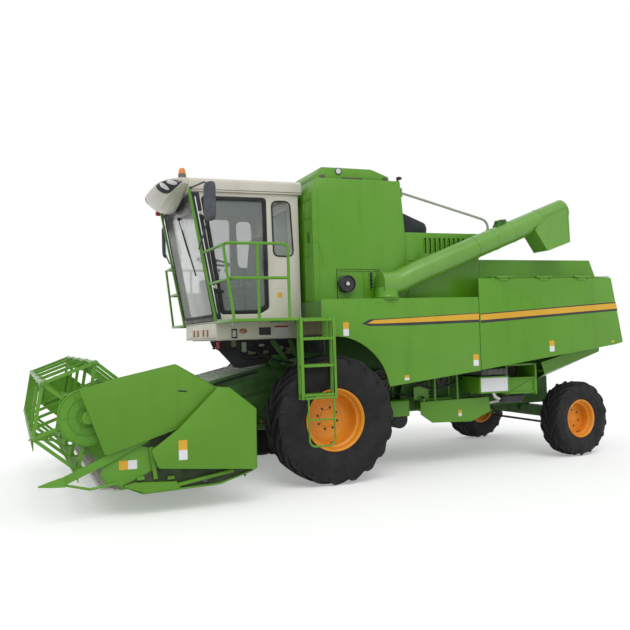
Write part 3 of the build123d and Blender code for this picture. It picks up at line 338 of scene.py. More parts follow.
# moulded lamp glass or clear plastic with fine ribs
def makeLens(name, colour, worn, rough=0.12):
    finish = Finish(name)
    finish.colour(finish.mix(finish.spread(finish.noise(18, 3), 0.35, 0.7), colour, worn))
    finish.roughness(finish.spread(finish.noise(7, 3), 0.3, 0.7, rough, rough + 0.15))
    ribs = finish.nodes.new("ShaderNodeTexWave")
    ribs.bands_direction = "Z"
    ribs.inputs["Scale"].default_value = 42
    finish.links.new(finish.place, ribs.inputs["Vector"])
    finish.bump(ribs.outputs[0], 0.18, 0.002)
    finish.shader.inputs["Coat Weight"].default_value = 0.5
    finish.shader.inputs["Coat Roughness"].default_value = 0.08
    return finish.material


def makeCloth(name, colour, light):
    finish = Finish(name)
    weave = finish.nodes.new("ShaderNodeTexBrick")
    weave.inputs["Scale"].default_value = 260
    weave.inputs["Mortar Size"].default_value = 0.03
    finish.links.new(finish.place, weave.inputs["Vector"])
    base = finish.mix(finish.spread(finish.noise(11, 5, 0.6), 0.35, 0.7), colour, light)
    finish.colour(base)
    finish.bump(weave.outputs["Fac"], 0.35, 0.001)
    finish.shader.inputs["Roughness"].default_value = 0.9
    finish.shader.inputs["Sheen Weight"].default_value = 0.25
    return finish.material


paints = {name: makePaint(name) for name in paintSettings}
paints["tyreRubber"] = makeRubber("tyreRubber", (0.006, 0.006, 0.0066), (0.048, 0.044, 0.038), 0.09)
paints["sealRubber"] = makeRubber("sealRubber", (0.012, 0.013, 0.014), (0.06, 0.06, 0.055), 0.15)
paints["cabPlastic"] = makeRubber("cabPlastic", (0.02, 0.022, 0.027), (0.1, 0.1, 0.1), 0.12)
paints["trimGrey"] = makeRubber("trimGrey", (0.115, 0.112, 0.105), (0.22, 0.2, 0.17), 0.25)
paints["brownCore"] = makeRubber("brownCore", (0.15, 0.125, 0.078), (0.24, 0.21, 0.14), 0.5)
paints["darkSteel"] = makeMetal("darkSteel", (0.085, 0.085, 0.085), (0.15, 0.12, 0.09), 0.45, 0.7, 0.7)
paints["brightSteel"] = makeMetal("brightSteel", (0.62, 0.62, 0.61), (0.42, 0.4, 0.37), 0.18, 0.38)
paints["chrome"] = makeMetal("chrome", (0.8, 0.8, 0.81), (0.66, 0.66, 0.66), 0.06, 0.18)
paints["bladeSteel"] = makeMetal("bladeSteel", (0.38, 0.37, 0.35), (0.22, 0.16, 0.11), 0.3, 0.55)
paints["mirrorShell"] = makeRubber("mirrorShell", (0.06, 0.066, 0.078), (0.13, 0.14, 0.15), 0.4)
paints["mirrorGlass"] = makeMetal("mirrorGlass", (0.72, 0.75, 0.77), (0.66, 0.69, 0.7), 0.02, 0.08)
# painted reflection: the windscreen's pale, half-opaque colour stands for the sky that it reflects
paints["screenGlassSkyReflection"] = makeGlass("screenGlassSkyReflection", (0.74, 0.77, 0.73), 0.46, (3.0, 3.16, (0.1, 0.11, 0.1)))
paints["paneGlass"] = makeGlass("paneGlass", (0.7, 0.73, 0.72), 0.14)
paints["sideGlass"] = makeGlass("sideGlass", (0.26, 0.29, 0.28), 0.4)
paints["lampGlass"] = makeLens("lampGlass", (0.8, 0.81, 0.8), (0.6, 0.62, 0.62))
paints["amberLens"] = makeLens("amberLens", (0.86, 0.26, 0.02), (0.7, 0.18, 0.012))
paints["brownLens"] = makeLens("brownLens", (0.42, 0.2, 0.06), (0.3, 0.14, 0.04), 0.2)
paints["redLens"] = makeLens("redLens", (0.5, 0.03, 0.015), (0.36, 0.02, 0.012), 0.15)
paints["seatCloth"] = makeCloth("seatCloth", (0.035, 0.036, 0.04), (0.07, 0.07, 0.075))
print("stage: materials")


# Shape helpers

# turns a bmesh into a piece that rides on a body, and hides the nodes that it stands for
def asPiece(bm, name, body, paint, smoothAngle=32, stands=()):
    mesh = bpy.data.meshes.new(name)
    bm.to_mesh(mesh)
    bm.free()
    for polygon in mesh.polygons:
        polygon.use_smooth = True
    mesh.set_sharp_from_angle(angle=math.radians(smoothAngle))
    mesh.materials.append(paints[paint])
    piece = bpy.data.objects.new(name, mesh)
    scene.collection.objects.link(piece)
    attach(piece, body)
    if stands:
        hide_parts(*stands)
    return piece


# a box between two corners with rounded edges
def addBlock(bm, low, high, edge=0.004, segments=2):
    size = [abs(b - a) for a, b in zip(low, high)]
    middle = at(*[(a + b) / 2 for a, b in zip(low, high)])
    made = bmesh.ops.create_cube(bm, size=1, matrix=Matrix.Translation(middle) @ Matrix.Diagonal((*size, 1)))
    roundEdges(bm, edgesOf(made["verts"]), min(edge, min(size) * 0.45), segments)


def edgesOf(verts):
    return list({edge for vert in verts for edge in vert.link_edges})


def roundEdges(bm, edges, width, segments=2):
    if width > 0 and edges:
        bmesh.ops.bevel(bm, geom=edges, offset=width, segments=segments, profile=0.5, affect="EDGES",
                        clamp_overlap=True, material=-1)


# a flat outline of points, given thickness along a vector, with its rims rounded
def addSheet(bm, outline, depth, edge=0.002, segments=1):
    verts = [bm.verts.new(point) for point in outline]
    face = bm.faces.new(verts)
    made = bmesh.ops.extrude_face_region(bm, geom=[face])
    far = [item for item in made["geom"] if isinstance(item, bmesh.types.BMVert)]
    bmesh.ops.translate(bm, verts=far, vec=depth)
    faces = list({f for vert in verts + far for f in vert.link_faces})
    bmesh.ops.recalc_face_normals(bm, faces=faces)
    if edge > 0:
        rims = [e for e in edgesOf(verts + far) if e.is_manifold and e.calc_face_angle() > math.radians(50)]
        roundEdges(bm, rims, edge, segments)


# a closed flat outline with its corners turned into arcs; radius may be one number or one per corner
def rounded(points, radius, steps=5):
    points = [Vector(point) for point in points]
    radii = radius if isinstance(radius, (list, tuple)) else [radius] * len(points)
    result = []
    for i, corner in enumerate(points):
        before, after = points[i - 1] - corner, points[(i + 1) % len(points)] - corner
        r = radii[i]
        if r <= 0:
            result.append(corner)
            continue
        half = before.angle(after) / 2
        reach = min(r / math.tan(half), before.length * 0.49, after.length * 0.49)
        start, end = corner + before.normalized() * reach, corner + after.normalized() * reach
        for k in range(steps + 1):
            t = k / steps
            result.append(start * (1 - t) ** 2 + corner * 2 * t * (1 - t) + end * t ** 2)
    return result


# points (x, z) of a side view, as an outline in the plane y
def sideOutline(points, y, radius=0, steps=5):
    return rounded([at(x, y, z) for x, z in points], radius, steps)


# corners (x, z) of an upright rectangle in a side view
def flatBox(x0, z0, x1, z1):
    return [(x0, z0), (x1, z0), (x1, z1), (x0, z1)]


# a plate that stands along the machine's side: outline of (x, z) points in the plane y
def addPlate(bm, points, y, thick, corner=0.004, steps=3, edge=0.0, segments=1):
    addSheet(bm, sideOutline(points, y, corner, steps), sideways(thick), edge, segments)


# a closed flat outline moved inwards by a width
def insetOutline(points, width):
    middle = sum(points, Vector()) / len(points)
    flat = (points[0] - middle).cross(points[len(points) // 3] - middle).normalized()
    result = []
    for i, point in enumerate(points):
        before, after = point - points[i - 1], points[(i + 1) % len(points)] - point
        inward = (flat.cross(before.normalized()) + flat.cross(after.normalized())).normalized()
        if inward.dot(middle - point) < 0:
            inward = -inward
        result.append(point + inward * width)
    return result


# a flat frame that follows an outline, inward wide, with thickness along a vector
def addBand(bm, outline, inward, depth, edge=0.002):
    inner, soft = insetOutline(outline, inward), insetOutline(outline, edge)
    softInner = insetOutline(outline, inward - edge)
    lift = depth * (1 - edge / depth.length)
    rings = [outline, [p + lift for p in outline], [p + depth for p in soft], [p + depth for p in softInner],
             [p + lift for p in inner], inner]
    addLoft(bm, rings + [outline], False)


# a skin through rings of points, each ring closed
def addLoft(bm, rings, cap=True):
    loops = [[bm.verts.new(point) for point in ring] for ring in rings]
    for first, second in zip(loops[:-1], loops[1:]):
        for i in range(len(first)):
            bm.faces.new((first[i - 1], first[i], second[i], second[i - 1]))
    if cap:
        for loop in (loops[0], loops[-1]):
            bm.faces.new(loop)
    bmesh.ops.remove_doubles(bm, verts=[vert for loop in loops for vert in loop], dist=0.00002)
    fresh = {vert for loop in loops for vert in loop if vert.is_valid}
    bmesh.ops.recalc_face_normals(bm, faces=list({face for vert in fresh for face in vert.link_faces}))


# a turned shape from (along, radius) points round an axis through centre
def addLathe(bm, profile, centre, axis=(0, 1, 0), steps=48, closed=True):
    axis = Vector(axis).normalized()
    side = axis.orthogonal().normalized()
    verts = [bm.verts.new(centre + axis * along + side * radius) for along, radius in profile]
    edges = [bm.edges.new((a, b)) for a, b in zip(verts[:-1], verts[1:])]
    if closed:
        edges.append(bm.edges.new((verts[-1], verts[0])))
    before = set(bm.faces)
    bmesh.ops.spin(bm, geom=verts + edges, cent=centre, axis=axis, angle=2 * math.pi, steps=steps,
                   use_merge=True, use_duplicate=False)
    faces = [f for f in bm.faces if f not in before]
    points = list({vert for f in faces for vert in f.verts})
    bmesh.ops.remove_doubles(bm, verts=points, dist=0.00005)
    bmesh.ops.recalc_face_normals(bm, faces=[f for f in bm.faces if f not in before])


# a round bar between two points
def addRod(bm, start, end, radius, sides=12, edge=0.0):
    start, end = Vector(start), Vector(end)
    run = end - start
    turn = run.to_track_quat("Z", "Y").to_matrix().to_4x4()
    made = bmesh.ops.create_cone(bm, cap_ends=True, segments=sides, radius1=radius, radius2=radius,
                                 depth=run.length, matrix=Matrix.Translation((start + end) / 2) @ turn)
    if edge:
        caps = [e for e in edgesOf(made["verts"]) if e.calc_face_angle() > math.radians(60)]
        roundEdges(bm, caps, edge, 2)


# a run of points with its inner corners turned into arcs
def bentPath(points, bend, steps=6):
    points = [Vector(point) for point in points]
    path = [points[0]]
    for before, corner, after in zip(points[:-2], points[1:-1], points[2:]):
        back, on = before - corner, after - corner
        reach = min(bend, back.length * 0.49, on.length * 0.49)
        start, end = corner + back.normalized() * reach, corner + on.normalized() * reach
        for k in range(steps + 1):
            t = k / steps
            path.append(start * (1 - t) ** 2 + corner * 2 * t * (1 - t) + end * t ** 2)
    path.append(points[-1])
    return path


# a round pipe through points, with rounded bends
def addPipe(bm, points, radius, bend=0.05, steps=6, fine=3):
    curve = bpy.data.curves.new("pipeRun", "CURVE")
    curve.dimensions, curve.bevel_depth, curve.bevel_resolution = "3D", radius, fine
    curve.use_fill_caps = True
    path = bentPath(points, bend, steps)
    spline = curve.splines.new("POLY")
    spline.points.add(len(path) - 1)
    for knot, point in zip(spline.points, path):
        knot.co = (*point, 1)
    holder = bpy.data.objects.new("pipeRun", curve)
    mesh = bpy.data.meshes.new_from_object(holder)
    before = set(bm.verts)
    bm.from_mesh(mesh)
    fresh = [vert for vert in bm.verts if vert not in before]
    bmesh.ops.remove_doubles(bm, verts=fresh, dist=0.00002)
    bpy.data.objects.remove(holder)
    bpy.data.curves.remove(curve)
    bpy.data.meshes.remove(mesh)


# a pipe through points (x, out, z), on one side of the machine
def addSidePipe(bm, side, points, radius, bend=0.05):
    addPipe(bm, [at(x, side * out, z) for x, out, z in points], radius, bend)


# a hexagon head on a washer
def addBolt(bm, place, axis, size=0.012, tall=0.008):
    place, axis = Vector(place), Vector(axis).normalized()
    turn = axis.to_track_quat("Z", "Y").to_matrix().to_4x4()
    for radius, low, high, sides in ((size * 1.35, 0, tall * 0.3, 16), (size, tall * 0.3, tall, 6)):
        bmesh.ops.create_cone(bm, cap_ends=True, segments=sides, radius1=radius, radius2=radius * 0.94,
                              depth=high - low, matrix=Matrix.Translation(place + axis * (low + high) / 2) @ turn)


# a node's own shape with rounded sheet edges, which stands for the node
def coverOf(node, paint, edge=0.004, segments=2, sharp=24, name=None, keep=None):
    source = frame["nodes"][node]
    bm = bmesh.new()
    bm.from_mesh(source.data)
    if keep:
        gone = [vert for vert in bm.verts if not keep(vert.co)]
        bmesh.ops.delete(bm, geom=gone, context="VERTS")
    bmesh.ops.remove_doubles(bm, verts=bm.verts, dist=0.00003)
    bmesh.ops.dissolve_limit(bm, angle_limit=math.radians(0.4), use_dissolve_boundaries=False,
                             verts=bm.verts, edges=bm.edges)
    bmesh.ops.recalc_face_normals(bm, faces=bm.faces)
    edges = [e for e in bm.edges if e.is_manifold and e.calc_face_angle() > math.radians(sharp)]
    bmesh.ops.bevel(bm, geom=edges, offset=edge, segments=segments, profile=0.5, affect="EDGES",
                    clamp_overlap=False, material=-1)
    asPiece(bm, name or node + "_skin", source["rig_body"], paint, 30, (node,))


# gives a node that keeps its own shape its finish
def paintNode(node, paint):
    item = frame["nodes"][node]
    item.data.materials.clear()
    item.data.materials.append(paints[paint])


# Wheels

wheelSettings = {
    "front": {"place": (0, 1.278, 0.728), "turn": 0, "radius": 0.728, "wide": 0.47, "bead": 0.355, "lugs": 19,
              "lugWide": 0.062, "seat": 0.33, "rimWide": 0.4, "disc": 0.268, "discY": -0.055, "back": -0.0615,
              "hub": 0.099, "bolts": 0.125, "boltCount": 8, "bolt": 0.011},
    "rear": {"place": (-3.525, 1.122, 0.485), "turn": 8, "radius": 0.485, "wide": 0.315, "bead": 0.25, "lugs": 17,
             "lugWide": 0.046, "seat": 0.229, "rimWide": 0.27, "disc": 0.178, "discY": -0.02, "back": -0.0265,
             "hub": 0.066, "bolts": 0.105, "boltCount": 6, "bolt": 0.009},
}
kingpinY = 0.89
# shares of the tyre that a chevron bar takes: run past the tread, drop over the shoulder, root, taper, lean
lugShares = {"run": 1.16, "over": 0.16, "root": 0.93, "taper": 0.22, "lean": 1.5}


# one chevron bar: a block drawn out over the tread and bent down over the shoulder
def addLug(bm, size, side):
    radius, half = size["radius"], size["wide"] / 2
    step = 2 * math.pi / size["lugs"]
    made = bmesh.ops.create_cube(bm, size=1)
    long = [e for e in edgesOf(made["verts"]) if abs(e.verts[0].co.x - e.verts[1].co.x) > 0.5]
    bmesh.ops.subdivide_edges(bm, edges=long, cuts=8)
    verts = list({v for e in long for v in e.verts})
    seen, todo = set(verts), list(verts)
    while todo:
        for e in todo.pop().link_edges:
            for v in e.verts:
                if v not in seen:
                    seen.add(v)
                    todo.append(v)
    for v in seen:
        along, across, tall = v.co.x + 0.5, v.co.y, v.co.z + 0.5
        reach = along * lugShares["run"]
        y = half * (0.04 + 0.95 * min(reach, 1.0))
        outer = radius * (1.0 - 0.005 * min(reach, 0.8) / 0.8 - 0.045 * max(0, min(reach, 1.0) - 0.8) / 0.2)
        inner = radius * lugShares["root"]
        if reach > 1.0:
            over = (reach - 1.0) / lugShares["over"]
            y = half * (0.99 + 0.012 * (1 - over))
            outer = radius * (0.95 - 0.085 * over)
            inner = outer - radius * 0.03
        width = size["lugWide"] * (1.0 - lugShares["taper"] * tall) * (1.12 - 0.25 * min(reach, 1.0))
        angle = step * lugShares["lean"] * min(reach, 1.0) ** 0.92 + across * width / radius
        r = inner + (outer - inner) * tall
        v.co = Vector((r * math.cos(angle), side * y, r * math.sin(angle)))
    return list(seen)


def makeTyre(size, name, side, body, node):
    radius, half, bead = size["radius"], size["wide"] / 2, size["bead"]
    tread = radius * 0.955
    wall = tread - bead
    shape = [(0.7, bead - 0.004), (0.8, bead - 0.001), (0.835, bead + wall * 0.03), (0.845, bead + wall * 0.07),
             (0.865, bead + wall * 0.085), (0.875, bead + wall * 0.125), (0.93, bead + wall * 0.23),
             (0.985, bead + wall * 0.4), (0.999, bead + wall * 0.46), (1.004, bead + wall * 0.5),
             (0.999, bead + wall * 0.54), (0.995, bead + wall * 0.66), (0.975, bead + wall * 0.78),
             (0.955, bead + wall * 0.86), (0.9, tread - radius * 0.022), (0.72, tread - radius * 0.008), (0.4, tread),
             (0.0, tread)]
    profile = [(-y * half, r) for y, r in shape] + [(y * half, r) for y, r in reversed(shape[:-1])]
    profile += [(half * 0.6, bead + wall * 0.3), (-half * 0.6, bead + wall * 0.3)]
    bm = bmesh.new()
    addLathe(bm, profile, Vector((0, 0, 0)), steps=84)
    lugs = {}
    for way in (1, -1):
        lug = addLug(bm, size, way)
        faces = list({f for v in lug for f in v.link_faces})
        bmesh.ops.recalc_face_normals(bm, faces=faces)
        rims = [e for e in edgesOf(lug) if e.is_manifold and e.calc_face_angle() > math.radians(48)
                and min((v.co.x ** 2 + v.co.z ** 2) ** 0.5 for v in e.verts) > radius * 0.86]
        made = bmesh.ops.bevel(bm, geom=rims, offset=size["lugWide"] * 0.1, segments=2, profile=0.5, affect="EDGES",
                               clamp_overlap=True, material=-1)
        whole, todo = set(), [f for f in made["faces"] if f.is_valid][:1]
        while todo:
            f = todo.pop()
            if f not in whole:
                whole.add(f)
                todo.extend(n for e in f.edges for n in e.link_faces if n not in whole)
        lugs[way] = list(whole)
    first = -math.pi / 2 - 0.4 * size["lugWide"] / radius
    step = 2 * math.pi / size["lugs"]
    for way, shift in ((1, 0.0), (-1, 0.5)):
        geom = lugs[way]
        verts = list({v for f in geom for v in f.verts})
        for i in range(size["lugs"]):
            angle = first + (i + shift) * step
            if i < size["lugs"] - 1:
                copy = bmesh.ops.duplicate(bm, geom=geom)
                moved = [item for item in copy["geom"] if isinstance(item, bmesh.types.BMVert)]
            else:
                moved = verts
            bmesh.ops.rotate(bm, verts=moved, cent=(0, 0, 0), matrix=Matrix.Rotation(-angle, 3, "Y"))
    placeWheel(bm, size, side)
    asPiece(bm, name, body, "tyreRubber", 34, (node,))


def placeWheel(bm, size, side):
    if side < 0:
        bmesh.ops.scale(bm, verts=bm.verts, vec=(1, -1, 1))
        bmesh.ops.reverse_faces(bm, faces=bm.faces)
    x, y, z = size["place"]
    if size["turn"]:
        bmesh.ops.transform(bm, verts=bm.verts, matrix=Matrix.Translation((x, side * y, z)))
        pin = Vector((x, side * kingpinY, 0))
        bmesh.ops.rotate(bm, verts=bm.verts, cent=pin, matrix=Matrix.Rotation(math.radians(size["turn"]), 3, "Z"))
        bmesh.ops.translate(bm, verts=bm.verts, vec=(axleX, 0, 0))
    else:
        bmesh.ops.translate(bm, verts=bm.verts, vec=(x + axleX, side * y, z))


def makeRim(size, name, side, body, node):
    half, flange, seat = size["rimWide"] / 2, size["bead"], size["seat"]
    disc, face = size["disc"], size["discY"]
    drop = seat - 0.036
    k = size["radius"] / 0.728
    bm = bmesh.new()
    outer = [(half - 0.004, flange - 0.003), (half, flange - 0.008), (half - 0.001, flange - 0.014),
             (half - 0.012 * k, seat - 0.002), (half - 0.02 * k, seat - 0.008), (half - 0.06 * k, seat - 0.014),
             (half - 0.072 * k, seat - 0.019), (half - 0.084 * k, seat - 0.014), (half - 0.1 * k, drop),
             (face + 0.05 * k, drop - 0.004), (face + 0.028 * k, drop - 0.008), (face + 0.01 * k, disc + 0.01),
             (face + 0.004, disc + 0.004)]
    inner = [(face - 0.014, disc + 0.004), (face - 0.018, drop - 0.006), (-half + 0.1 * k, drop - 0.01),
             (-half + 0.07 * k, seat - 0.018), (-half + 0.014, seat - 0.01), (-half, flange - 0.01),
             (-half, flange - 0.002), (-half + 0.006, flange - 0.001), (-half + 0.016, seat + 0.001),
             (-half + 0.07 * k, seat - 0.004), (-half + 0.1 * k, drop + 0.004), (half - 0.11 * k, drop + 0.004),
             (half - 0.09 * k, seat - 0.004), (half - 0.018, seat + 0.001), (half - 0.008, flange - 0.001)]
    addLathe(bm, outer + inner, Vector((0, 0, 0)), steps=72)
    disk = [(face + 0.01, 0.0), (face + 0.01, size["hub"] * 0.55), (face + 0.007, size["hub"] * 0.62),
            (face + 0.007, size["hub"] * 0.95), (face, size["hub"] * 1.04), (face, size["bolts"] * 1.55),
            (face + 0.006, size["bolts"] * 1.62), (face + 0.006, disc - 0.012), (face + 0.001, disc + 0.006),
            (face - 0.012, disc + 0.006), (face - 0.012, size["hub"] + 0.004), (size["back"], size["hub"] + 0.004),
            (size["back"], 0.0)]
    addLathe(bm, disk, Vector((0, 0, 0)), steps=72, closed=False)
    placeWheel(bm, size, side)
    asPiece(bm, name, body, "rimPaint", 28, (node,))
    bm = bmesh.new()
    for i in range(size["boltCount"]):
        a = 2 * math.pi * (i + 0.35) / size["boltCount"]
        spot = Vector((size["bolts"] * math.cos(a), face, size["bolts"] * math.sin(a)))
        addBolt(bm, spot, (0, 1, 0), size["bolt"], size["bolt"] * 1.2)
        addRod(bm, spot, spot + sideways(size["bolt"] * 1.9), size["bolt"] * 0.5, 8)
    valve = Vector((0, 0, -1)) * (drop - 0.012)
    addPipe(bm, [valve + sideways(face + 0.06), valve + Vector((0, face + 0.1, 0.012)),
                 valve + Vector((0, face + 0.13, 0.03))], 0.005, 0.01)
    placeWheel(bm, size, side)
    asPiece(bm, name + "_bolts", body, "darkSteel", 30)


for end, size in wheelSettings.items():
    for hand, side in sides:
        body = f"{hand}_{end}_wheel"
        makeTyre(size, f"{end}_tyre_{hand}_tread", side, body, f"{end}_tyre_{hand}")
        makeRim(size, f"{end}_rim_{hand}_dish", side, body, f"{end}_rim_{hand}")
print("stage: wheels")


# Nodes that keep their form

plainNodes = {
    "chassis_frame": "chassisPaint", "front_axle": "chassisPaint", "rear_axle": "chassisPaint",
    "knuckle_left": "chassisPaint", "knuckle_right": "chassisPaint", "tie_rod": "darkSteel",
    "engine_block": "darkSteel", "hand_rails": "greenPaint", "ladder_hoop": "greenPaint",
    "cutter_bar": "bladeSteel", "header_screw": "greenPaint", "reel": "greenPaint",
    "lift_barrels": "chassisPaint", "lift_rods": "chrome", "door_glass": "sideGlass",
    "steering_column": "cabPlastic", "console": "cabPlastic", "dividers": "greenPaint",
    "straw_hood": "chassisPaint", "hood_top": "greenPaint",
}
for node, paint in plainNodes.items():
    paintNode(node, paint)

# node: finish, rounding of its edges
sheetNodes = {
    "threshing_body": ("chassisPaint", 0.006), "front_panels": ("greenPaint", 0.004),
    "left_lid": ("greenPaint", 0.004), "right_lid": ("greenPaint", 0.004), "engine_deck": ("greenPaint", 0.004),
    "cab_base": ("baseLightenedPaint", 0.004), "cab_walls": ("cabPaint", 0.006), "cab_door": ("sealRubber", 0.004),
    "walkways": ("greenPaint", 0.003), "ladder": ("greenPaint", 0.003), "feeder_house": ("chassisPaint", 0.006),
    "header_trough": ("greenPaint", 0.002), "end_covers": ("shieldPaint", 0.003), "reel_arms": ("greenPaint", 0.004),
    "reel_shields": ("shieldPaint", 0.003), "lower_guards": ("greenPaint", 0.003),
}
for node, (paint, edge) in sheetNodes.items():
    coverOf(node, paint, edge)
# the drive's sheave is a piece of its own
coverOf("grain_tank", "greenPaint", 0.004, keep=lambda p: abs(p.y) < 1.102 or p.x < axleX - 0.45 or p.z < 2.15)
coverOf("cab_glass", "screenGlassSkyReflection", 0.001, name="windscreen", keep=lambda p: p.x > axleX + 0.9 and abs(p.y) < 0.77)
coverOf("cab_glass", "paneGlass", 0.001, name="cab_panes", keep=lambda p: p.x < axleX + 0.9 or abs(p.y) > 0.77)
print("stage: sheet bodies")


# Stripe and stickers on the side panels and lids

stripeY = 1.3802
stripeRows = [
    # part, body, outline of (x, z) points, thickness in layers, finish
    ("front_black", "base", [(-0.4, 1.798), (-0.5, 1.845), (-1.0, 1.858), (-1.98, 1.895), (-1.98, 1.78),
                             (-1.0, 1.764), (-0.5, 1.768)], 1, "blackPaint"),
    ("front_yellow", "base", [(-0.47, 1.8), (-0.56, 1.836), (-1.0, 1.85), (-1.98, 1.886), (-1.98, 1.812),
                              (-1.0, 1.797), (-0.56, 1.794)], 2, "stripePaint"),
    ("rear_black", "lid", [(-2.003, 1.884), (-4.104, 1.998), (-4.13, 1.884), (-2.003, 1.768)], 1, "blackPaint"),
    ("rear_yellow", "lid", [(-2.003, 1.872), (-4.107, 1.984), (-4.123, 1.91), (-2.003, 1.802)], 2, "stripePaint"),
]


def stripeParts(hand, side):
    y = side * stripeY
    out = sideways(side * 0.0012)
    for name, place, points, layers, paint in stripeRows:
        bm = bmesh.new()
        addSheet(bm, sideOutline(points, y), out * layers, 0)
        asPiece(bm, f"stripe_{name}_{hand}", "base" if place == "base" else f"{hand}_side_lid", paint)


# a blank two-part sticker: a yellow field over, or beside, a white one
def addLabel(x, y, z, wide, tall, body, name, side=1, along=False):
    for part, paint, low, high in (("yellow", "stripePaint", 0.0, 0.5), ("white", "plateWhite", -0.5, 0.0)):
        bm = bmesh.new()
        if along:
            points = flatBox(x + wide * low, z - tall / 2, x + wide * high, z + tall / 2)
        else:
            points = flatBox(x - wide / 2, z + tall * low, x + wide / 2, z + tall * high)
        addPlate(bm, points, side * (y + 0.0002), side * 0.0012)
        asPiece(bm, f"{name}_{part}", body, paint)


# a plain plate on a side wall
def addSticker(name, x, y, z, wide, tall, paint, body="base", side=1, thick=0.0011):
    bm = bmesh.new()
    outline = flatBox(x - wide / 2, z - tall / 2, x + wide / 2, z + tall / 2)
    addPlate(bm, outline, side * (y + 0.0003), side * thick)
    asPiece(bm, name, body, paint)


for hand, side in sides:
    stripeParts(hand, side)
    addLabel(-0.2, 1.38, 1.742, 0.07, 0.155, "base", f"label_front_{hand}", side)
    addLabel(-0.96, 1.38, 1.15, 0.062, 0.06, "base", f"label_arch_{hand}", side)
    addLabel(-1.916, 1.38, 1.319, 0.075, 0.14, "base", f"label_seam_{hand}", side)
    addLabel(-3.052, 1.38, 1.451, 0.075, 0.14, f"{hand}_side_lid", f"label_lid_{hand}", side)
    addLabel(1.845, 2.036, 0.615, 0.085, 0.19, "header", f"label_cover_{hand}", side)
    addLabel(2.352, 1.912, 0.499, 0.17, 0.085, "header", f"label_sheet_{hand}", side, True)
    addLabel(-1.899, 1.0, 0.646, 0.05, 0.08, "base", f"label_guard_{hand}", side)
print("stage: stripe and labels")


# Cab

cabSettings = {"half": 0.8, "floor": 1.88, "frontLow": 1.18, "frontHigh": 1.43, "roofLow": 3.37}


def screenX(z):
    # how far forward the windscreen's plane is at a height
    share = (z - cabSettings["floor"]) / (cabSettings["roofLow"] - cabSettings["floor"])
    return cabSettings["frontLow"] + share * (cabSettings["frontHigh"] - cabSettings["frontLow"])


# the visor bulges out over the windscreen; its section is drawn at the middle and thins towards both ends
visorSettings = {"half": 0.828, "root": 1.4505, "middle": 1.732, "end": 1.484, "top": 3.565, "endTop": 3.518,
                 "low": 3.262, "endLow": 3.452, "stations": 36}
visorSection = [(1.4505, 3.565), (1.64, 3.565), (1.728, 3.538), (1.758, 3.485), (1.738, 3.415), (1.64, 3.292),
                (1.56, 3.254), (1.5, 3.24), (1.46, 3.24), (1.4505, 3.372)]


def visorReach(y):
    share = abs(y) / visorSettings["half"]
    return visorSettings["end"] + (visorSettings["middle"] - visorSettings["end"]) * (1 - share ** 2.8) ** 0.58


def visorHeights(y):
    share = min(1, abs(y) / visorSettings["half"])
    top = visorSettings["top"] + (visorSettings["endTop"] - visorSettings["top"]) * share ** 3
    low = visorSettings["low"] + (visorSettings["endLow"] - visorSettings["low"]) * share ** 1.7
    return low, top


def visorPoint(x, y, z):
    # a point of the middle section, moved to where it lies at y
    scale = (visorReach(y) - visorSettings["root"]) / (visorSettings["middle"] - visorSettings["root"])
    low, top = visorHeights(y)
    share = (z - visorSettings["low"]) / (visorSettings["top"] - visorSettings["low"])
    return at(visorSettings["root"] + (x - visorSettings["root"]) * scale, y, low + (top - low) * share)


def visorFace(y, share):
    # the outer surface at y, where share runs from the chin (0) to the brow (1)
    chain = visorSection[6:1:-1]
    pos = max(0.0, min(0.9999, share)) * (len(chain) - 1)
    i, t = int(pos), pos - int(pos)
    x = chain[i][0] * (1 - t) + chain[i + 1][0] * t
    z = chain[i][1] * (1 - t) + chain[i + 1][1] * t
    return visorPoint(x, y, z)


def makeVisor():
    count = visorSettings["stations"]
    corners = [0, 0.05, 0.035, 0.03, 0.035, 0.04, 0.04, 0.02, 0.012, 0]
    section = [(p.x - axleX, p.z) for p in sideOutline(visorSection, 0, corners, 4)]
    rings = []
    for i in range(count + 1):
        y = visorSettings["half"] * math.sin(math.pi * (i / count - 0.5))
        y = max(-0.9995 * visorSettings["half"], min(0.9995 * visorSettings["half"], y))
        rings.append([visorPoint(x, y, z) for x, z in section])
    bm = bmesh.new()
    addLoft(bm, rings)
    half, low, high = visorSettings["half"], 3.37, 3.53
    outline = [(-half, low), (half, low), (half, 3.505), (half - 0.05, high), (0.05 - half, high), (-half, 3.505)]
    points = rounded([at(0.082, y, z) for y, z in outline], [0.006, 0.006, 0.03, 0.03, 0.03, 0.03], 4)
    addSheet(bm, points, Vector((1.3675, 0, 0)), 0.01, 3)
    asPiece(bm, "roof_shell", "base", "cabPaint", 40, ("cab_roof",))


def addPatch(bm, centre, reach, power, lift, bulge, spin=0.0, rings=5, steps=32):
    # an oval patch on the visor's face: centre and reach are (y, share), bulge lifts its middle
    loops = []
    for k in range(rings, 0, -1):
        ring = []
        for i in range(steps):
            a = 2 * math.pi * i / steps
            c, s = math.cos(a), math.sin(a)
            u = abs(c) ** power * math.copysign(1, c) * k / rings
            v = abs(s) ** power * math.copysign(1, s) * k / rings
            y = centre[0] + reach[0] * u + spin * v
            rise = lift + bulge * (1 - (k / rings) ** 2)
            ring.append(visorFace(y, centre[1] + reach[1] * v) + Vector((rise, 0, rise * 0.3)))
        loops.append(ring)
    bottom = [point - Vector((lift + 0.004, 0, 0)) for point in loops[0]]
    addLoft(bm, [bottom] + loops)


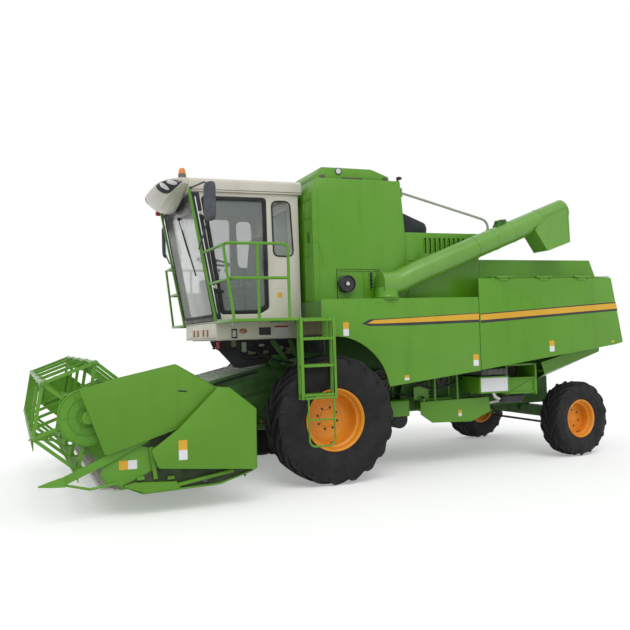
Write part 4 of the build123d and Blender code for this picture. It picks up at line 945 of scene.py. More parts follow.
def makeVisorLamps():
    for hand, side in sides:
        bm = bmesh.new()
        addPatch(bm, (side * 0.6, 0.56), (0.2, 0.3), 0.75, 0.0035, 0.0, side * -0.05)
        asPiece(bm, f"visor_recess_{hand}", "base", "cabPlastic", 40)
        for k, y in enumerate((0.565, 0.715)):
            bm = bmesh.new()
            addPatch(bm, (side * y, 0.56), (0.048, 0.22), 1.0, 0.006, 0.012, side * -0.03)
            asPiece(bm, f"visor_lamp_{hand}_{k}", "base", "lampGlass", 40)


def makeCabTrim():
    half = cabSettings["half"]
    for hand, side in sides:
        bm = bmesh.new()
        outline = [(screenX(1.9) - 0.082, 1.9), (screenX(1.9) - 0.006, 1.9), (screenX(3.36) - 0.004, 3.36),
                   (screenX(3.36) - 0.1, 3.36)]
        addPlate(bm, outline, side * (half + 0.0004), side * 0.0045, 0.006, 3, 0.0015)
        asPiece(bm, f"pillar_cover_{hand}", "base", "cabPlastic")
        bm = bmesh.new()
        low, high = 1.96, 3.31
        addRod(bm, at(screenX(low) - 0.044, side * (half + 0.006), low),
               at(screenX(high) - 0.044, side * (half + 0.006), high), 0.008, 12, 0.002)
        asPiece(bm, f"pillar_bar_{hand}", "base", "chrome")
        bm = bmesh.new()
        addBand(bm, sideOutline([(0.19, 2.625), (0.22, 3.295), (0.465, 3.295), (0.455, 2.625)], side * (half - 0.004),
                                0.085, 7), 0.017, sideways(side * 0.013), 0.004)
        asPiece(bm, f"window_seal_{hand}", "base", "sealRubber")
        bm = bmesh.new()
        addBlock(bm, (0.084, side * (half + 0.0303), 3.388), (1.43, side * (half + 0.027), 3.396), 0.001, 1)
        asPiece(bm, f"roof_seam_{hand}", "base", "trimGrey")
    bm = bmesh.new()
    right = [(0.526, 2.286), (screenX(2.3) - 0.074, 2.286), (screenX(3.3) - 0.074, 3.314), (0.526, 3.314)]
    addBand(bm, sideOutline(right, 0.004 - half, 0.065, 6), 0.017, sideways(-0.013), 0.004)
    rear = rounded([at(0.124, y, z) for y, z in flatBox(-0.512, 2.438, 0.512, 3.262)], 0.06, 6)
    addBand(bm, rear, 0.022, Vector((-0.012, 0, 0)), 0.004)
    asPiece(bm, "far_window_seals", "base", "sealRubber")
    # rubber round the windscreen, with the deep dark sill below it
    bm = bmesh.new()
    run = Vector((screenX(3.36) - screenX(1.93), 0, 3.36 - 1.93))
    across = Vector((0, 1, 0))
    corner = at(screenX(1.93) + 0.0005, 0, 1.93)
    screen = [corner + across * y + run * t for y, t in ((-0.79, 0), (0.79, 0), (0.79, 0.99), (-0.79, 0.99))]
    addBand(bm, rounded(screen, 0.05, 6), 0.03, Vector((0.01, 0, -0.0018)), 0.003)
    asPiece(bm, "windscreen_seal", "base", "sealRubber")
    bm = bmesh.new()
    addBlock(bm, (1.168, -0.792, 1.884), (1.186, 0.792, 1.95), 0.004)
    asPiece(bm, "windscreen_sill", "base", "trimGrey")
    # wiper
    bm = bmesh.new()
    lift = Vector((0.02, 0, 0))
    foot = at(screenX(3.16), 0.06, 3.16) + lift
    elbow = at(screenX(2.78), 0.205, 2.78) + lift
    addPipe(bm, [foot, elbow, at(screenX(2.66), 0.25, 2.66) + lift * 0.7], 0.006, 0.03)
    addRod(bm, at(screenX(3.02), 0.095, 3.02) + lift * 0.5, at(screenX(2.44), 0.345, 2.44) + lift * 0.5, 0.008, 8)
    addRod(bm, at(screenX(3.16) - 0.004, 0.06, 3.16), foot + Vector((0.012, 0, 0)), 0.018, 16, 0.003)
    asPiece(bm, "wiper", "base", "cabPlastic")
    # door handle at the rear edge, with its catch
    bm = bmesh.new()
    addBlock(bm, (0.53, half - 0.001, 2.48), (0.572, half + 0.014, 2.735), 0.008, 3)
    addPipe(bm, [at(0.552, half + 0.012, 2.52), at(0.552, half + 0.04, 2.53), at(0.552, half + 0.04, 2.69),
                 at(0.552, half + 0.012, 2.7)], 0.009, 0.02)
    asPiece(bm, "door_handle", "door", "cabPlastic")
    bm = bmesh.new()
    addLathe(bm, [(0, 0), (0.006, 0.0), (0.006, 0.01), (0.0, 0.012)], at(0.552, half + 0.014, 2.6), (0, 1, 0), 20,
             False)
    asPiece(bm, "door_lock", "door", "chrome")


# blank plates: name, middle (x, z), width, height, finish
plateRows = [("plate_dark", 0.59, 1.749, 0.146, 0.092, "blackPaint"),
             ("plate_white", 0.385, 1.755, 0.176, 0.108, "plateWhite")]


def makeCabBase():
    half = cabSettings["half"] + 0.02
    # lamps, blank plates and the step's bracket on the base's side
    for hand, side in sides:
        bm = bmesh.new()
        lamp, wide, tall = at(0.855, side * (half + 0.0008), 1.757), 0.088, 0.06
        addLathe(bm, [(-0.002, 0.0), (-0.002, 0.046), (0.006, 0.044), (0.012, 0.034), (0.014, 0.0)], lamp,
                 (0, side, 0), 28, False)
        bmesh.ops.scale(bm, verts=bm.verts, vec=(1, 1, tall / wide), space=Matrix.Translation(-lamp))
        asPiece(bm, f"side_lamp_{hand}", "base", "brownLens")
        for name, x, z, wide, tall, paint in plateRows:
            addSticker(f"{name}_{hand}", x, half, z, wide, tall, paint, "base", side, 0.0016)
        bm = bmesh.new()
        addPlate(bm, flatBox(0.3, 1.789, 0.47, 1.808), side * (half + 0.0019), side * 0.0008, 0.001, 1)
        asPiece(bm, f"plate_band_{hand}", "base", "plateRed")
        bm = bmesh.new()
        for x in (0.936, 0.992):
            addSidePipe(bm, side, [(x, half, 1.782), (x, half + 0.018, 1.776), (x, half + 0.018, 1.684),
                                   (x, half, 1.678)], 0.005, 0.012)
        addBlock(bm, (0.934, side * half, 1.676), (0.994, side * (half + 0.01), 1.692), 0.002)
        addBlock(bm, (0.934, side * half, 1.768), (0.994, side * (half + 0.006), 1.784), 0.002)
        asPiece(bm, f"base_bracket_{hand}", "base", "cabPlastic")
        bm = bmesh.new()
        for x in (0.21, 0.42, 0.66, 0.98, 1.14):
            for z in (1.845, 1.7):
                addBolt(bm, at(x, side * half, z), (0, side, 0), 0.007, 0.005)
        asPiece(bm, f"base_bolts_{hand}", "base", "brightSteel")
    bm = bmesh.new()
    for y in (0.15, 0.356, -0.15, -0.356):
        addBlock(bm, (1.168, y - 0.062, 1.706), (1.186, y + 0.062, 1.79), 0.01, 3)
    asPiece(bm, "front_lamps", "base", "brownLens")
    bm = bmesh.new()
    addBlock(bm, (1.169, -0.8, 1.862), (1.174, 0.8, 1.866), 0.001, 1)
    addBlock(bm, (1.169, -0.8, 1.683), (1.174, 0.8, 1.687), 0.001, 1)
    asPiece(bm, "base_seams", "base", "trimGrey")
    addSticker("cab_sticker", 0.383, half - 0.0195, 2.173, 0.058, 0.058, "stripePaint")


def makeBeacon():
    place = at(1.49, 0.69, 3.53)
    bm = bmesh.new()
    addLathe(bm, [(-0.012, 0), (-0.012, 0.052), (-0.002, 0.052), (0.004, 0.048), (0.04, 0.044), (0.052, 0.046),
                  (0.055, 0.043), (0.055, 0)], place, (0, 0, 1), 36, False)
    asPiece(bm, "beacon_foot", "base", "trimGrey", 32, ("beacon",))
    bm = bmesh.new()
    angles = [math.pi / 2 * k / 9 for k in range(9)]
    dome = [(0.054, 0), (0.054, 0.041)]
    dome += [(0.06 + 0.066 * math.sin(a), 0.0415 * math.cos(a) ** 0.6) for a in angles]
    dome.append((0.1265, 0))
    addLathe(bm, dome, place, (0, 0, 1), 36, False)
    asPiece(bm, "beacon_dome", "base", "amberLens", 40)


mirrorTurn = 20
# hand: side, then the housing's middle ahead of the axle, outwards and upwards
mirrorSettings = {"left": (1, 1.33, 1.29, 3.175), "right": (-1, 1.39, 1.01, 3.01)}
# depth, half width and half height of the housing's rings
mirrorRings = [(0.027, 0.05, 0.15), (0.024, 0.074, 0.19), (0.014, 0.088, 0.207), (0.0, 0.094, 0.214),
               (-0.02, 0.094, 0.214), (-0.026, 0.09, 0.21)]
unitSquare = [(-1, -1), (1, -1), (1, 1), (-1, 1)]


def makeMirrors():
    for hand, (side, x, out, z) in mirrorSettings.items():
        # the housing is a rounded shell, deeper in its middle; the glass looks back
        rings = []
        turn = Matrix.Rotation(math.radians(side * mirrorTurn), 3, "Z")

        def place(ahead, across, up):
            return at(x, side * out, z) + turn @ Vector((ahead, across, up))

        for depth, wide, tall in mirrorRings:
            points = [place(depth, y * wide, t * tall) for y, t in unitSquare]
            rings.append(rounded(points, 0.075, 7))
        bm = bmesh.new()
        addLoft(bm, rings)
        arm = [at(1.43, side * 0.848, 3.4), at(x + 0.02, side * (out - 0.06), 3.4 if z > 3.1 else 3.32),
               at(x + 0.006, side * out, z + 0.12)]
        addPipe(bm, arm, 0.01, 0.06)
        addSidePipe(bm, side, [(x + 0.006, out, z - 0.12), (x, out - 0.1, z - 0.2), (1.358, 0.862, 2.702)], 0.009,
                    0.06)
        addBlock(bm, (1.415, side * 0.8305, 3.385), (1.445, side * 0.848, 3.415), 0.003)
        stands = ("mirrors",) if hand == "left" else ()
        asPiece(bm, f"mirror_{hand}_housing", "base", "mirrorShell", 45, stands)
        bm = bmesh.new()
        glass = [place(-0.0262, y * 0.082, t * 0.2) for y, t in unitSquare]
        addSheet(bm, rounded(glass, 0.045, 7), turn @ Vector((-0.0016, 0, 0)), 0)
        asPiece(bm, f"mirror_{hand}_glass", "base", "mirrorGlass")
    bm = bmesh.new()
    addLathe(bm, [(-0.062, 0), (-0.062, 0.034), (0.018, 0.034), (0.03, 0.024), (0.032, 0)], at(1.486, -0.93, 3.386),
             (1, 0, 0), 24, False)
    asPiece(bm, "marker_lamp_right", "base", "redLens")


def makeCabInside():
    # seat: crowned cushions with pulled-in sides, resting on a dark base
    def cushion(name, low, high, lean, crown, squeeze):
        bm = bmesh.new()
        size = [b - a for a, b in zip(low, high)]
        middle = at(*[(a + b) / 2 for a, b in zip(low, high)])
        bmesh.ops.create_cube(bm, size=1)
        bmesh.ops.subdivide_edges(bm, edges=bm.edges, cuts=9, use_grid_fill=True)
        for vert in bm.verts:
            u = vert.co * 2
            swell = (1 - u.x ** 4) * (1 - u.y ** 4)
            channel = 0.01 * (math.exp(-((u.y - 0.55) / 0.07) ** 2) + math.exp(-((u.y + 0.55) / 0.07) ** 2)) * swell
            puff = crown * swell - channel
            pinch = 1 - squeeze * (1 - (1 - abs(u.z)) ** 2) * 0.5
            place = Vector((vert.co.x * size[0] * pinch, vert.co.y * size[1] * pinch, vert.co.z * size[2]))
            place.z += puff * (1 if u.z > 0 else 0) * abs(u.z)
            place.x += lean * (place.z / size[2] + 0.5)
            vert.co = place + middle
        roundEdges(bm, [e for e in bm.edges if e.is_manifold and e.calc_face_angle() > math.radians(55)], 0.012, 3)
        piece = asPiece(bm, name, "base", "seatCloth", 60)
        return piece

    cushion("seat_back", (0.365, -0.235, 2.3), (0.5, 0.235, 2.94), -0.06, 0.012, 0.1)
    seatPad = cushion("seat_pad", (0.405, -0.25, 2.19), (0.91, 0.25, 2.305), 0.0, 0.028, 0.05)
    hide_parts("seat")
    bm = bmesh.new()
    addBlock(bm, (0.44, -0.22, 1.881), (0.88, 0.22, 1.98), 0.01)
    for k in range(6):
        z = 1.985 + k * 0.032
        addBlock(bm, (0.455 + 0.012 * (k % 2), -0.205 + 0.012 * (k % 2), z),
                 (0.865 - 0.012 * (k % 2), 0.205 - 0.012 * (k % 2), z + 0.03), 0.008)
    addBlock(bm, (0.42, -0.23, 2.17), (0.895, 0.23, 2.195), 0.006)
    asPiece(bm, "seat_base", "base", "cabPlastic")
    # keys and levers of the console, then the floor mat and the roof's lining
    bm = bmesh.new()
    for k in range(8):
        addBlock(bm, (0.56 + k * 0.056, -0.6, 2.45), (0.59 + k * 0.056, -0.44, 2.456), 0.002)
    for x, lean in ((0.66, 0.02), (0.78, -0.01), (0.9, 0.015)):
        addRod(bm, at(x, -0.52, 2.45), at(x + lean, -0.52, 2.57), 0.006, 10)
        knob = Matrix.Translation(at(x + lean, -0.52, 2.585))
        bmesh.ops.create_uvsphere(bm, u_segments=16, v_segments=10, radius=0.02, matrix=knob)
    asPiece(bm, "console_levers", "base", "blackPaint", 40)
    bm = bmesh.new()
    addBlock(bm, (0.2, -0.74, 1.881), (1.14, 0.74, 1.889), 0.002)
    asPiece(bm, "floor_mat", "base", "sealRubber")
    bm = bmesh.new()
    addBlock(bm, (0.175, -0.745, 3.345), (1.36, 0.745, 3.366), 0.006)
    addBlock(bm, (1.24, -0.7, 3.27), (1.37, 0.7, 3.345), 0.02, 3)
    asPiece(bm, "headliner", "base", "trimGrey")


makeVisor()
makeVisorLamps()
makeCabTrim()
makeCabBase()
makeBeacon()
makeMirrors()
makeCabInside()
print("stage: cab")


# Tank, auger, deck and side panels

tankSettings = {"half": 1.1, "panelOut": 1.38}


def makeTankSide(hand, side):
    half = tankSettings["half"]
    y = side * (half + 0.0002)
    out = sideways(side)
    # outlined hatch round the drive, with a fold towards the front corner
    bm = bmesh.new()
    addBand(bm, sideOutline([(-0.233, 2.449), (-0.783, 2.443), (-0.783, 2.092), (-0.233, 2.092)], y, 0.012, 3), 0.016,
            out * 0.01, 0.003)
    addBlock(bm, (-0.572, y, 2.092), (-0.586, side * (half + 0.008), 2.446), 0.002)
    asPiece(bm, f"hatch_rim_{hand}", "base", "greenPaint")
    bm = bmesh.new()
    addBand(bm, sideOutline([(-0.225, 2.457), (-0.791, 2.451), (-0.791, 2.086), (-0.225, 2.086)], y, 0.012, 3), 0.008,
            out * 0.003, 0.001)
    asPiece(bm, f"hatch_gap_{hand}", "base", "sealRubber")
    bm = bmesh.new()
    addPipe(bm, [at(0.03, y, 2.78), at(-0.018, y, 2.76), at(-0.05, y, 2.6), at(-0.056, y, 2.47)], 0.008, 0.05)
    addPipe(bm, [at(-0.01, y, 3.4), at(-0.01, y, 2.1)], 0.004, 0.05)
    asPiece(bm, f"tank_fold_{hand}", "base", "greenPaint")
    # slotted oval port beside the sheave
    bm = bmesh.new()
    addBand(bm, sideOutline([(-0.64, 2.205), (-0.64, 2.425), (-0.7, 2.425), (-0.7, 2.205)], y, 0.03, 6), 0.012,
            out * 0.012, 0.003)
    asPiece(bm, f"port_rim_{hand}", "base", "greenPaint")
    bm = bmesh.new()
    addSheet(bm, sideOutline([(-0.648, 2.213), (-0.648, 2.417), (-0.692, 2.417), (-0.692, 2.213)], y, 0.022, 6),
             out * 0.003, 0)
    asPiece(bm, f"port_dark_{hand}", "base", "sealRubber")
    bm = bmesh.new()
    for z in (2.245, 2.29, 2.34, 2.385):
        addRod(bm, at(-0.67, y, z), at(-0.67, side * (half + 0.014), z), 0.013, 14, 0.003)
    asPiece(bm, f"port_bolts_{hand}", "base", "darkSteel")
    # knob at the upper rear corner and lamp on the cover
    bm = bmesh.new()
    corner = at(-1.085, side * (half - 0.02), 3.515)
    addRod(bm, corner, corner + Vector((0, 0, 0.045)), 0.014, 14, 0.003)
    knob = Matrix.Translation(corner + Vector((-0.02, 0, 0.055))) @ Matrix.Diagonal((1.5, 1, 0.8, 1))
    bmesh.ops.create_uvsphere(bm, u_segments=18, v_segments=12, radius=0.026, matrix=knob)
    asPiece(bm, f"tank_knob_{hand}", "base", "cabPlastic", 60)
    bm = bmesh.new()
    lamp = at(-0.309, side * 1.0505, 3.628)
    addLathe(bm, [(0, 0.042), (0.014, 0.04), (0.018, 0.036), (0.012, 0.033), (0, 0.033)], lamp, (0, side, 0), 30)
    asPiece(bm, f"cover_lamp_ring_{hand}", "base", "trimGrey")
    bm = bmesh.new()
    addLathe(bm, [(0, 0.034), (0.01, 0.033), (0.014, 0.022), (0.016, 0.0)], lamp, (0, side, 0), 30, False)
    asPiece(bm, f"cover_lamp_{hand}", "base", "lampGlass")
    bm = bmesh.new()
    for x in (-0.15, -0.45, -0.75, -1.02):
        addBolt(bm, at(x, side * half, 3.5), (0, side, 0), 0.007, 0.005)
    for z in (3.3, 3.0, 2.7, 2.45):
        addBolt(bm, at(0.035, side * half, z), (0, side, 0), 0.007, 0.005)
    asPiece(bm, f"tank_bolts_{hand}", "base", "greenPaint")
    # sheave of the cross auger, with its hub
    bm = bmesh.new()
    drive = at(-0.33, side * half, 2.275)
    addLathe(bm, [(0.004, 0.1), (0.03, 0.1), (0.04, 0.078), (0.05, 0.078), (0.06, 0.1), (0.086, 0.1), (0.089, 0.094),
                  (0.07, 0.086), (0.06, 0.04), (0.06, 0.03), (0.004, 0.03)], drive, (0, side, 0), 48)
    for k in range(5):
        a = 2 * math.pi * k / 5 + 0.3
        spot = drive + Vector((0.064 * math.cos(a), side * 0.064, 0.064 * math.sin(a)))
        addRod(bm, spot, spot + sideways(side * 0.006), 0.01, 12)
    asPiece(bm, f"drive_sheave_{hand}", "base", "blackPaint", 30)
    bm = bmesh.new()
    addRod(bm, drive, drive + sideways(side * 0.088), 0.024, 20, 0.004)
    addBolt(bm, drive + sideways(side * 0.088), (0, side, 0), 0.013, 0.008)
    asPiece(bm, f"drive_hub_{hand}", "base", "brightSteel")


# folds, hinges and vents on the tank's front wall
def makeTankFront():
    bm = bmesh.new()
    for side in (1, -1):
        for y in (0.845, 0.885, 1.055):
            addSidePipe(bm, side, [(0.061, y, 2.1), (0.061, y, 3.36)], 0.007)
        for z in (2.62, 3.06, 3.28):
            addBlock(bm, (0.06, side * 0.84, z), (0.066, side * 1.09, z + 0.012), 0.002)
        for z in (2.46, 3.2):
            addRod(bm, at(0.07, side * 0.87, z - 0.04), at(0.07, side * 0.87, z + 0.04), 0.011, 12, 0.002)
    asPiece(bm, "tank_front_folds", "base", "greenPaint")
    bm = bmesh.new()
    for side in (1, -1):
        for k in range(5):
            addBlock(bm, (0.061, side * 0.915, 2.78 + k * 0.026), (0.064, side * 1.005, 2.79 + k * 0.026), 0.001, 1)
    asPiece(bm, "tank_vents", "base", "sealRubber")


augerSettings = {"x": -0.79, "y": 1.262, "z": 2.266, "bend": -0.85, "rise": 20.6, "end": -3.44, "radius": 0.138,
                 "spout": 0.142}


def augerPoint(x):
    # the tube's axis above a place behind the bend
    rise = math.tan(math.radians(augerSettings["rise"]))
    return at(x, augerSettings["y"], augerSettings["z"] + (augerSettings["bend"] - x) * rise)


def makeAuger():
    y, z, radius = augerSettings["y"], augerSettings["z"], augerSettings["radius"]
    bm = bmesh.new()
    # collar on the turret flange, foot, elbow and tube
    addLathe(bm, [(2.098, 0.148), (2.108, 0.148), (2.112, 0.144), (2.13, 0.138), (2.225, 0.13), (2.225, 0.06),
                  (2.142, 0.088), (2.098, 0.088)], at(augerSettings["x"], y, 0), (0, 0, 1), 48)
    asPiece(bm, "auger_collar", "unloader", "greenPaint", 35)
    bm = bmesh.new()
    path = [at(augerSettings["x"] + 0.084, y, z), at(augerSettings["bend"] - 0.06, y, z), augerPoint(-1.16),
            augerPoint(augerSettings["end"] + 0.06)]
    addPipe(bm, path, radius, 0.3, 12, 10)
    addRod(bm, at(augerSettings["x"] + 0.085, y, z), at(augerSettings["x"] + 0.073, y, z), radius + 0.008, 40, 0.003)
    ahead = (augerPoint(-2) - augerPoint(-1)).normalized()
    for x in (-2.02, -2.98):
        addRod(bm, augerPoint(x), augerPoint(x) + ahead * 0.008, radius + 0.003, 40, 0.001)
    for x in (-2.3, -2.56):
        addRod(bm, augerPoint(x), augerPoint(x) + ahead * 0.026, radius + 0.0025, 40, 0.001)
    asPiece(bm, "auger_tube", "unloader", "augerPaint", 35, ("unloading_auger",))
    # spout: a folded sheet hood, open below
    end = augerPoint(augerSettings["end"])
    ex, ez = augerSettings["end"] + 0.07, end.z + 0.012
    outer = [(ex + 0.523, ez - 0.325), (ex + 0.355, ez - 0.134), (ex - 0.003, ez + 0.01), (ex - 0.014, ez - 0.47),
             (ex + 0.342, ez - 0.589)]
    bm = bmesh.new()
    ring = sideOutline(outer, y - augerSettings["spout"], [0.02, 0.03, 0.035, 0.008, 0.008], 4)
    verts = [bm.verts.new(p) for p in ring]
    made = bmesh.ops.extrude_face_region(bm, geom=[bm.faces.new(verts)])
    bmesh.ops.translate(bm, verts=[v for v in made["geom"] if isinstance(v, bmesh.types.BMVert)],
                        vec=(0, 2 * augerSettings["spout"], 0))
    bmesh.ops.recalc_face_normals(bm, faces=bm.faces)
    mouth = [f for f in bm.faces if f.normal.z < -0.8]
    bmesh.ops.delete(bm, geom=mouth, context="FACES_ONLY")
    bmesh.ops.solidify(bm, geom=bm.faces[:], thickness=0.006)
    bmesh.ops.recalc_face_normals(bm, faces=bm.faces)
    roundEdges(bm, [e for e in bm.edges if e.is_manifold and e.calc_face_angle() > math.radians(60)], 0.0015, 1)
    asPiece(bm, "auger_spout", "unloader", "augerPaint", 35)
    # seams of the spout, bracket for the stay and its clamps
    seam = [(0.5, 0.335), (0.343, 0.15), (0.01, 0.016), (0.0, 0.46)]
    bm = bmesh.new()
    for side in (-1, 1):
        edge = y + side * (augerSettings["spout"] + 0.0003)
        addPipe(bm, [at(ex + ahead, edge, ez - drop) for ahead, drop in seam], 0.004, 0.02)
    asPiece(bm, "spout_seams", "unloader", "greenPaint")
    bm = bmesh.new()
    top = augerPoint(-2.42) + Vector((0, 0, radius + 0.0005))
    addBlock(bm, (-2.5, y - 0.05, top.z - 0.035), (-2.34, y + 0.05, top.z + 0.002), 0.004)
    for dy in (-0.042, 0.036):
        addSheet(bm, rounded([at(-2.52, y + dy, top.z - 0.03), at(-2.33, y + dy, top.z - 0.06),
                              at(-2.37, y + dy, top.z + 0.062), at(-2.48, y + dy, top.z + 0.075)], 0.014, 4),
                 Vector((0, 0.006, 0)), 0.001)
    addRod(bm, at(-2.425, y - 0.055, top.z + 0.04), at(-2.425, y + 0.055, top.z + 0.04), 0.01, 14, 0.002)
    asPiece(bm, "auger_bracket", "unloader", "chassisPaint", 35)


def makeCoverAndStay():
    # lid of the tank: a low hipped sheet on a rim
    bm = bmesh.new()
    section = sideOutline([(-0.012, 3.531), (-0.014, 3.578), (-0.092, 3.668), (-0.744, 3.668), (-0.973, 3.585),
                           (-0.985, 3.531)], -1.05, [0.004, 0.012, 0.02, 0.02, 0.012, 0.004], 3)
    addSheet(bm, section, Vector((0, 2.1, 0)), 0.006, 2)
    asPiece(bm, "tank_lid", "base", "greenPaint", 30, ("tank_cover",))
    bm = bmesh.new()
    for side in (-1, 1):
        addBlock(bm, (-0.36, side * 1.049, 3.533), (-0.62, side * 1.062, 3.556), 0.004)
        for x in (-0.1, -0.93):
            addBlock(bm, (x - 0.03, side * 1.049, 3.532), (x + 0.03, side * 1.06, 3.575), 0.004)
    asPiece(bm, "lid_catches", "base", "darkSteel")
    # stay of the auger: rod with a bowed end on its rest
    bm = bmesh.new()
    y = augerSettings["y"] - augerSettings["radius"] - 0.012
    addPipe(bm, [at(-1.128, 1.045, 3.404), at(-2.18, y - 0.02, 3.12), at(-2.34, y - 0.016, 3.075),
                 at(-2.36, y - 0.014, 2.86)], 0.015, 0.09)
    addBlock(bm, (-2.4, y - 0.024, 2.812), (-2.32, y - 0.002, 2.968), 0.004)
    addSheet(bm, [at(-1.137, 0.99, 3.345), at(-1.1285, 0.99, 3.455), at(-1.1285, 1.08, 3.455),
                  at(-1.137, 1.08, 3.345)], Vector((-0.012, 0, 0.001)), 0.002)
    for dy in (1.01, 1.065):
        for z in (3.37, 3.43):
            addBolt(bm, at(-1.148, dy, z), (-1, 0, 0.07), 0.008, 0.006)
    asPiece(bm, "stay_rod", "base", "feederPaint", 35, ("auger_stay",))


louvreSettings = {"first": -1.41, "pitch": -0.068, "count": 9, "low": 2.652, "high": 2.838}
# place across the machine, then the size of the duct's section there
ductRings = [(0.334, 0.72), (0.345, 0.86), (0.375, 0.95), (0.43, 0.992), (0.575, 1.0), (0.72, 0.992),
             (0.775, 0.95), (0.805, 0.86), (0.816, 0.72)]


def makeDeckDetail():
    # slanting blades behind the louvre slots
    first, pitch, count, low, high = louvreSettings.values()
    blade = [(0.004, 1.098, low), (0.004, 1.098, high), (-0.042, 1.07, high), (-0.042, 1.07, low)]
    bm = bmesh.new()
    for side in (-1, 1):
        for x in spots(first, pitch, count):
            addSheet(bm, [at(x + ahead, side * y, z) for ahead, y, z in blade], Vector((0.002, side * 0.002, 0)), 0)
            addSidePipe(bm, side, [(x + 0.003, 1.102, 2.655), (x + 0.003, 1.106, 2.7), (x + 0.003, 1.106, 2.79),
                                   (x + 0.003, 1.102, 2.835)], 0.005, 0.02)
    asPiece(bm, "louvre_blades", "base", "greenPaint")
    bm = bmesh.new()
    for side in (-1, 1):
        addBlock(bm, (-2.18, side * 1.0995, 2.56), (-1.16, side * 1.106, 2.572), 0.002)
        addBlock(bm, (-1.185, side * 1.0995, 2.1), (-1.17, side * 1.106, 2.88), 0.002)
    for x in (-1.3, -1.75, -2.15):
        addBlock(bm, (x, -0.98, 2.9055), (x + 0.022, 0.98, 2.916), 0.003)
    asPiece(bm, "deck_seams", "base", "greenPaint")
    # round intake duct with its rings
    bm = bmesh.new()
    outline = [(-1.158, 2.908), (-1.158, 3.262), (-1.353, 3.184), (-1.63, 3.075), (-1.655, 3.01), (-1.642, 2.908)]
    front = sideOutline(outline, 0, [0.01, 0.05, 0.06, 0.09, 0.05, 0.01], 6)
    rings = []
    middle = at(-1.4, 0, 3.02)
    for y, shrink in ductRings:
        ring = []
        for p in front:
            x, z = middle.x + (p.x - middle.x) * shrink, middle.z + (p.z - middle.z) * shrink
            ring.append(Vector((x, y, max(2.907, z))))
        rings.append(ring)
    addLoft(bm, rings)
    asPiece(bm, "intake_duct", "base", "cabPlastic", 45, ("air_intake",))
    bm = bmesh.new()
    for x in spots(-1.23, -0.105, 4):
        top = 3.262 - (abs(x) - 1.158) * 0.395
        addPipe(bm, [at(x, 0.338, 2.98), at(x, 0.372, top - 0.055), at(x, 0.46, top + 0.002),
                     at(x, 0.69, top + 0.002), at(x, 0.778, top - 0.055), at(x, 0.812, 2.98)], 0.011, 0.07)
    asPiece(bm, "intake_rings", "base", "sealRubber")
    # hatch on the deck behind the duct
    bm = bmesh.new()
    addBlock(bm, (-2.1, -0.6, 2.9055), (-1.72, 0.6, 2.925), 0.008)
    addRod(bm, at(-1.92, -0.05, 2.925), at(-1.92, 0.05, 2.925), 0.008, 10)
    for y in (-0.42, 0.42):
        addBlock(bm, (-1.735, y - 0.04, 2.915), (-1.705, y + 0.04, 2.932), 0.004)
    asPiece(bm, "deck_hatch", "base", "greenPaint")


def makePanelDetail(hand, side):
    out = tankSettings["panelOut"]
    rim = out - 0.004
    lid = f"{hand}_side_lid"
    # folded upper edge of the front panel, rolled rim of its arch
    bm = bmesh.new()
    addSidePipe(bm, side, [(0.092, out - 0.007, 2.081), (-1.98, out - 0.007, 2.081)], 0.008)
    addSidePipe(bm, side, [(-1.98, rim, 1.194), (-0.742, rim, 1.064)], 0.006)
    arch = [at(-0.74, side * rim, 1.062)]
    for k in range(1, 12):
        t = k / 12
        x = -0.74 * (1 - t) ** 2 - 0.64 * 2 * t * (1 - t) * 0.97 - 0.09 * t ** 2
        z = 1.062 * (1 - t) ** 2 + 1.635 * 2 * t * (1 - t) + 1.665 * t ** 2
        arch.append(at(x, side * rim, z))
    arch += [at(-0.09, side * rim, 1.665), at(0.092, side * rim, 1.665)]
    addPipe(bm, arch, 0.006, 0.02)
    asPiece(bm, f"panel_rims_{hand}", "base", "greenPaint")
    bm = bmesh.new()
    addSidePipe(bm, side, [(-1.996, rim, 2.314), (-1.996, rim, 1.2)], 0.005)
    addSidePipe(bm, side, [(-1.996, rim, 1.2), (-4.058, rim, 1.442)], 0.006)
    addSidePipe(bm, side, [(-1.996, rim, 2.314), (-4.036, rim, 2.314)], 0.006)
    addSidePipe(bm, side, [(-4.036, rim, 2.314), (-4.194, rim, 1.468), (-4.058, rim, 1.442)], 0.006, 0.03)
    asPiece(bm, f"lid_rims_{hand}", lid, "greenPaint")
    addSticker(f"lid_mark_{hand}", -4.03, out, 1.48, 0.05, 0.024, "stripePaint", lid, side)
    bm = bmesh.new()
    for x in (-0.18, -0.62, -1.06, -1.5, -1.9):
        addBolt(bm, at(x, side * out, 2.04), (0, side, 0), 0.007, 0.005)
    for x, z in ((-0.7, 1.23), (-0.53, 1.53), (-0.28, 1.66)):
        addBolt(bm, at(x - 0.05, side * out, z + 0.04), (0, side, 0), 0.007, 0.005)
    asPiece(bm, f"panel_bolts_{hand}", "base", "greenPaint")
    bm = bmesh.new()
    addBlock(bm, (-1.975, side * 1.352, 2.0805), (0.09, side * 1.366, 2.087), 0.001, 1)
    asPiece(bm, f"panel_seal_{hand}", "base", "sealRubber")


for hand, side in sides:
    makeTankSide(hand, side)
makeTankFront()
makeAuger()
makeCoverAndStay()
makeDeckDetail()
for hand, side in sides:
    makePanelDetail(hand, side)
print("stage: tank, auger and panels")


# Header, feeder house and reel

headerSettings = {"sheetY": 1.912, "shieldY": 1.99, "coverY": 2.036, "reel": (2.71, 0.975), "reelRadius": 0.52,
                  "reelHalf": 1.83, "turn": 10, "knife": (2.44, 0.262)}
shieldLines = {"left": [(1.48, 1.19), (1.89, 1.44), (2.42, 1.335), (2.785, 1.235), (2.565, 0.62), (1.87, 0.822)],
               "right": [(1.5, 1.16), (1.85, 1.175), (2.3, 1.09), (2.6, 0.93), (2.565, 0.64), (1.87, 0.822)]}


